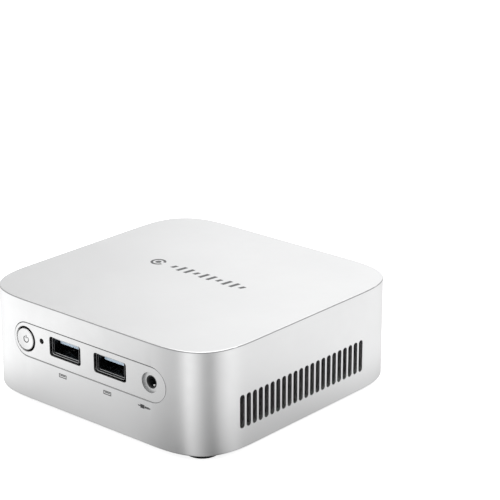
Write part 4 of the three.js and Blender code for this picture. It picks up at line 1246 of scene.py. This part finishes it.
def fan_frame():
    low, high = node_box("fan_frame")
    size = high.x - low.x
    mesh = bmesh.new()
    loft(mesh, rounded_rect(0, COOLER_Y, size, size, 3, 8), "Z", eased(low.z, high.z, 0.35, 3))
    cutter = bmesh.new()
    loft(cutter, circle(0, COOLER_Y, FAN_BORE, 96), "Z",
         [(-1.0, low.z - 0.5), (-0.6, low.z), (0, low.z + 0.8), (0, high.z + 1)])
    for x in (-25, 25):
        for y in (-25, 25):
            loft(cutter, circle(x, COOLER_Y + y, 2.9, 32), "Z",
                 [(0, low.z - 1), (0, low.z + 1.9), (1.4, low.z + 1.9), (1.4, high.z + 1)])
    mesh = carved(mesh, cutter)
    soften(mesh, 0.25, lambda point: abs(point.z - low.z) < 0.01)
    seat, inner = STATOR_SEAT
    under = high.z - 1.4
    hub = [(0, high.z), (0, high.z - 1.2), (0.2, under), (FAN_HUB - 4.4, under), (FAN_HUB - 4.4, seat),
           (FAN_HUB - inner, seat), (FAN_HUB - inner, high.z)]
    loft(mesh, circle(0, COOLER_Y, FAN_HUB, 64), "Z", hub, closed=True)
    for i in range(4):
        strut = bmesh.new()
        box(strut, (FAN_HUB - 0.4, -1.2, under), (FAN_BORE + 0.4, 1.2, high.z), 0.25)
        turn = Matrix.Rotation((i + 0.5) * math.pi / 2, 4, "Z")
        join_moved(mesh, strut, Matrix.Translation((0, COOLER_Y, 0)) @ turn)
    piece("fan_housing", mesh, BLACK, replaces=["fan_frame"])


fan_rotor()
fan_frame()


# ---- marks

SIGN_RISE = 13.92
SIGN_LINE = 0.3
USB_SIGN_ASIDE = 1.3
PLUG_SIGN_ASIDE = 2.6
# The bars of the plug sign, from its cable to its tip, as (offset, width, height)
PLUG_SIGN = ((-2.35, 1.1, 0.4), (-0.85, 1.9, 1.4), (0.75, 1.0, 0.75), (1.8, 0.8, 0.75), (2.6, 0.5, 0.45))
TOP_MARK_Y = 5.0
TOP_MARK_ENDS = (-24.8, 21.9)
TOP_MARK_BARS = 10


def port_signs():
    """A socket's outline under each front USB port, and a plug under the audio jack."""
    mesh = bmesh.new()
    place = FRONT
    z = CASE_LOW.z + SIGN_RISE
    line = SIGN_LINE
    for side in ("left", "right"):
        x = middle(f"front_usb_shell_{side}").x - USB_SIGN_ASIDE
        for way in (-1, 1):
            flat_mark(mesh, bar(x, z + way * 0.58, 3.75, line), "Y", place, -1)
            flat_mark(mesh, bar(x + way * 1.72, z, line, 0.86), "Y", place, -1)
        flat_mark(mesh, bar(x, z + 0.13, 2.4, line), "Y", place, -1)
    x = AUDIO.x - PLUG_SIGN_ASIDE
    for offset, width, height in PLUG_SIGN:
        flat_mark(mesh, bar(x + offset, z, width, height), "Y", place, -1)
    piece("port_signs", mesh, DARK_INK)


def top_mark():
    """A plain row of shapes on the top face: two rings and a line of leaning bars."""
    mesh = bmesh.new()
    place = CASE_HIGH.z
    y = TOP_MARK_Y
    left, right = TOP_MARK_ENDS
    flat_mark(mesh, arc_band(left + 3.0, y, 2.5, 1.0, 20, 340, 40), "Z", place, 1)
    flat_mark(mesh, arc_band(left + 3.0, y, 0.6, 1.1, 0, 359, 24), "Z", place, 1)
    first = left + 9.4
    pitch = (right - first) / TOP_MARK_BARS
    for i in range(TOP_MARK_BARS):
        height = 4.6 if i % 3 else 2.4
        flat_mark(mesh, bar(first + (i + 0.5) * pitch, y, pitch * 0.42, height, 0.35), "Z", place, 1)
    piece("top_mark", mesh, INK)


port_signs()
top_mark()


# ---- CAD pieces that keep their shape

CAD_FINISHES = {
    "power_switch": BLACK,
    "power_switch_plunger": COVER_PLASTIC,
    "status_light": WHITE,
    "video_port_housing": BLACK,
    "main_board": BOARD,
    "ssd_module": BOARD,
    "ssd_socket": BLACK,
    "ssd_screw": SCREW_STEEL,
    "memory_module": BOARD,
    "memory_socket": BLACK,
    "radio_card": BOARD,
    "radio_socket": BLACK,
    "coin_cell": SCREW_STEEL,
    "antenna_left": BLACK,
    "antenna_right": BLACK,
    "processor": BLACK,
    "heatsink": SINK_METAL,
    "fan_bearing": BRASS,
    "fan_stator": SCREW_STEEL,
}
for corner in SCREW_CORNERS:
    CAD_FINISHES[f"standoff_{corner}"] = SHADE_AND_BLACKENED_STEEL
for name, material in CAD_FINISHES.items():
    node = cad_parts[name]
    node.data.materials.clear()
    node.data.materials.append(material)


# ---- table and light

STAGE_REACH = 4000
SLAB = 20
REFLECTOR_DROP = 1.0
REFLECTOR_STRENGTH = 1.68
# Bright and dark patches on the studio floor, as (azimuth in degrees, share of full brightness). The azimuth
# runs from the front towards the right, about the middle of the rounded corner between them.
PATCHES = (
    (-180, 0.62), (-150, 0.50), (-125, 0.50), (-100, 0.66), (-78, 0.87), (-57, 0.82), (-46, 0.60),
    (-34, 0.46), (-13, 0.36), (9, 0.92), (28, 0.61), (50, 0.31), (65, 0.27), (87, 0.61), (108, 0.81),
    (128, 0.62), (143, 0.65), (157, 0.70), (168, 0.70), (180, 0.62),
)
SHADE_INSET = (11, 6)  # how far inside the side walls, and the front and rear, the fading starts
SHADE_REACH = 75
SHADE_DEPTH = 0.37
LIGHTER_ENDS = ((1, 5, 0.6), (-1, 40, 0.9))  # (towards +Y or -X, where it starts, gain): less shade there
TABLE_GLOW = 0.82
SKY = 0.78
LIGHT_AIM = (0, 0, 0.02)


def stage_slab(name, top, material):
    mesh = bmesh.new()
    box(mesh, (-STAGE_REACH, -STAGE_REACH, top - SLAB), (STAGE_REACH, STAGE_REACH, top))
    thing = shaped(name, mesh, [material])
    return thing


def table():
    """A matt white table top that also gives off light. Shiny surfaces see the reflector instead."""
    n = Nodes("table")
    soft = n.noise(3, 2)
    colour = n.mix(n.ramp(soft, 0, 1), (0.86, 0.86, 0.86), (0.845, 0.845, 0.845))
    glow = {"Emission_Color": (1, 1, 1, 1), "Emission_Strength": TABLE_GLOW}
    top = stage_slab("table", 0, n.finish(colour, Roughness=0.8, **glow))
    top.visible_glossy = False


def beyond(n, coordinate, reach):
    """How far a coordinate lies outside -reach to reach, in metres."""
    return n.math("MAXIMUM", n.math("SUBTRACT", n.math("ABSOLUTE", coordinate), reach * MM), 0.0)


def reflector():
    """The lit patches that only reflections see. They fade close to the case, where it shades the table."""
    n = Nodes("reflector")
    split = n.add("ShaderNodeSeparateXYZ")
    n.join(n.place, split.inputs[0])
    x, y = split.outputs[0], split.outputs[1]
    pole_x = (WIDTH / 2 - CORNER / 3) * MM
    pole_y = -(DEPTH / 2 - CORNER / 2) * MM
    azimuth = n.math("ARCTAN2", n.math("SUBTRACT", x, pole_x), n.math("SUBTRACT", pole_y, y))
    patches = n.add("ShaderNodeValToRGB")
    patches.color_ramp.interpolation = "EASE"
    stops = patches.color_ramp.elements
    while len(stops) < len(PATCHES):
        stops.new(0.5)
    for stop, (angle, bright) in zip(stops, PATCHES):
        stop.position = (angle + 180) / 360
        stop.color = (bright, bright, bright, 1)
    n.join(n.ramp(azimuth, 0, 1, -math.pi, math.pi), patches.inputs[0])
    aside = beyond(n, x, WIDTH / 2 - SHADE_INSET[0])
    ahead = beyond(n, y, DEPTH / 2 - SHADE_INSET[1])
    away = n.math("SQRT", n.math("ADD", n.math("POWER", aside, 2.0), n.math("POWER", ahead, 2.0)))
    for way, start, gain in LIGHTER_ENDS:
        along = n.math("SUBTRACT", n.math("MULTIPLY", y if way > 0 else x, float(way)), start * MM)
        away = n.math("ADD", away, n.math("MULTIPLY", n.math("MAXIMUM", along, 0.0), gain))
    fade = n.ramp(away, SHADE_DEPTH * REFLECTOR_STRENGTH, REFLECTOR_STRENGTH, 0, SHADE_REACH * MM)
    n.join(patches.outputs[0], n.shader.inputs["Emission Color"])
    n.join(fade, n.shader.inputs["Emission Strength"])
    slab = stage_slab("reflector", -REFLECTOR_DROP, n.finish(Specular_IOR_Level=0, Base_Color=(0, 0, 0, 1)))
    slab.visible_camera = False
    slab.visible_diffuse = False
    slab.visible_shadow = False
    slab.visible_transmission = False


def area_light(name, place, size, power):
    data = bpy.data.lights.new(name, "AREA")
    data.shape = "RECTANGLE"
    data.size, data.size_y = size
    data.energy = power
    light = linked(name, data)
    light.location = place
    light.rotation_euler = (Vector(place) - Vector(LIGHT_AIM)).to_track_quat("Z", "Y").to_euler()


def surroundings():
    world = bpy.data.worlds.new("studio")
    world.use_nodes = True
    background = world.node_tree.nodes["Background"]
    background.inputs["Color"].default_value = (1, 1, 1, 1)
    background.inputs["Strength"].default_value = SKY
    bpy.context.scene.world = world
    bpy.context.scene.view_settings.view_transform = "Standard"


table()
reflector()
surroundings()
area_light("overhead", (0.1, 0.1, 1.3), (1.6, 1.6), 12)
area_light("back_softbox", (-0.25, 0.85, 0.45), (1.0, 0.8), 1.0)
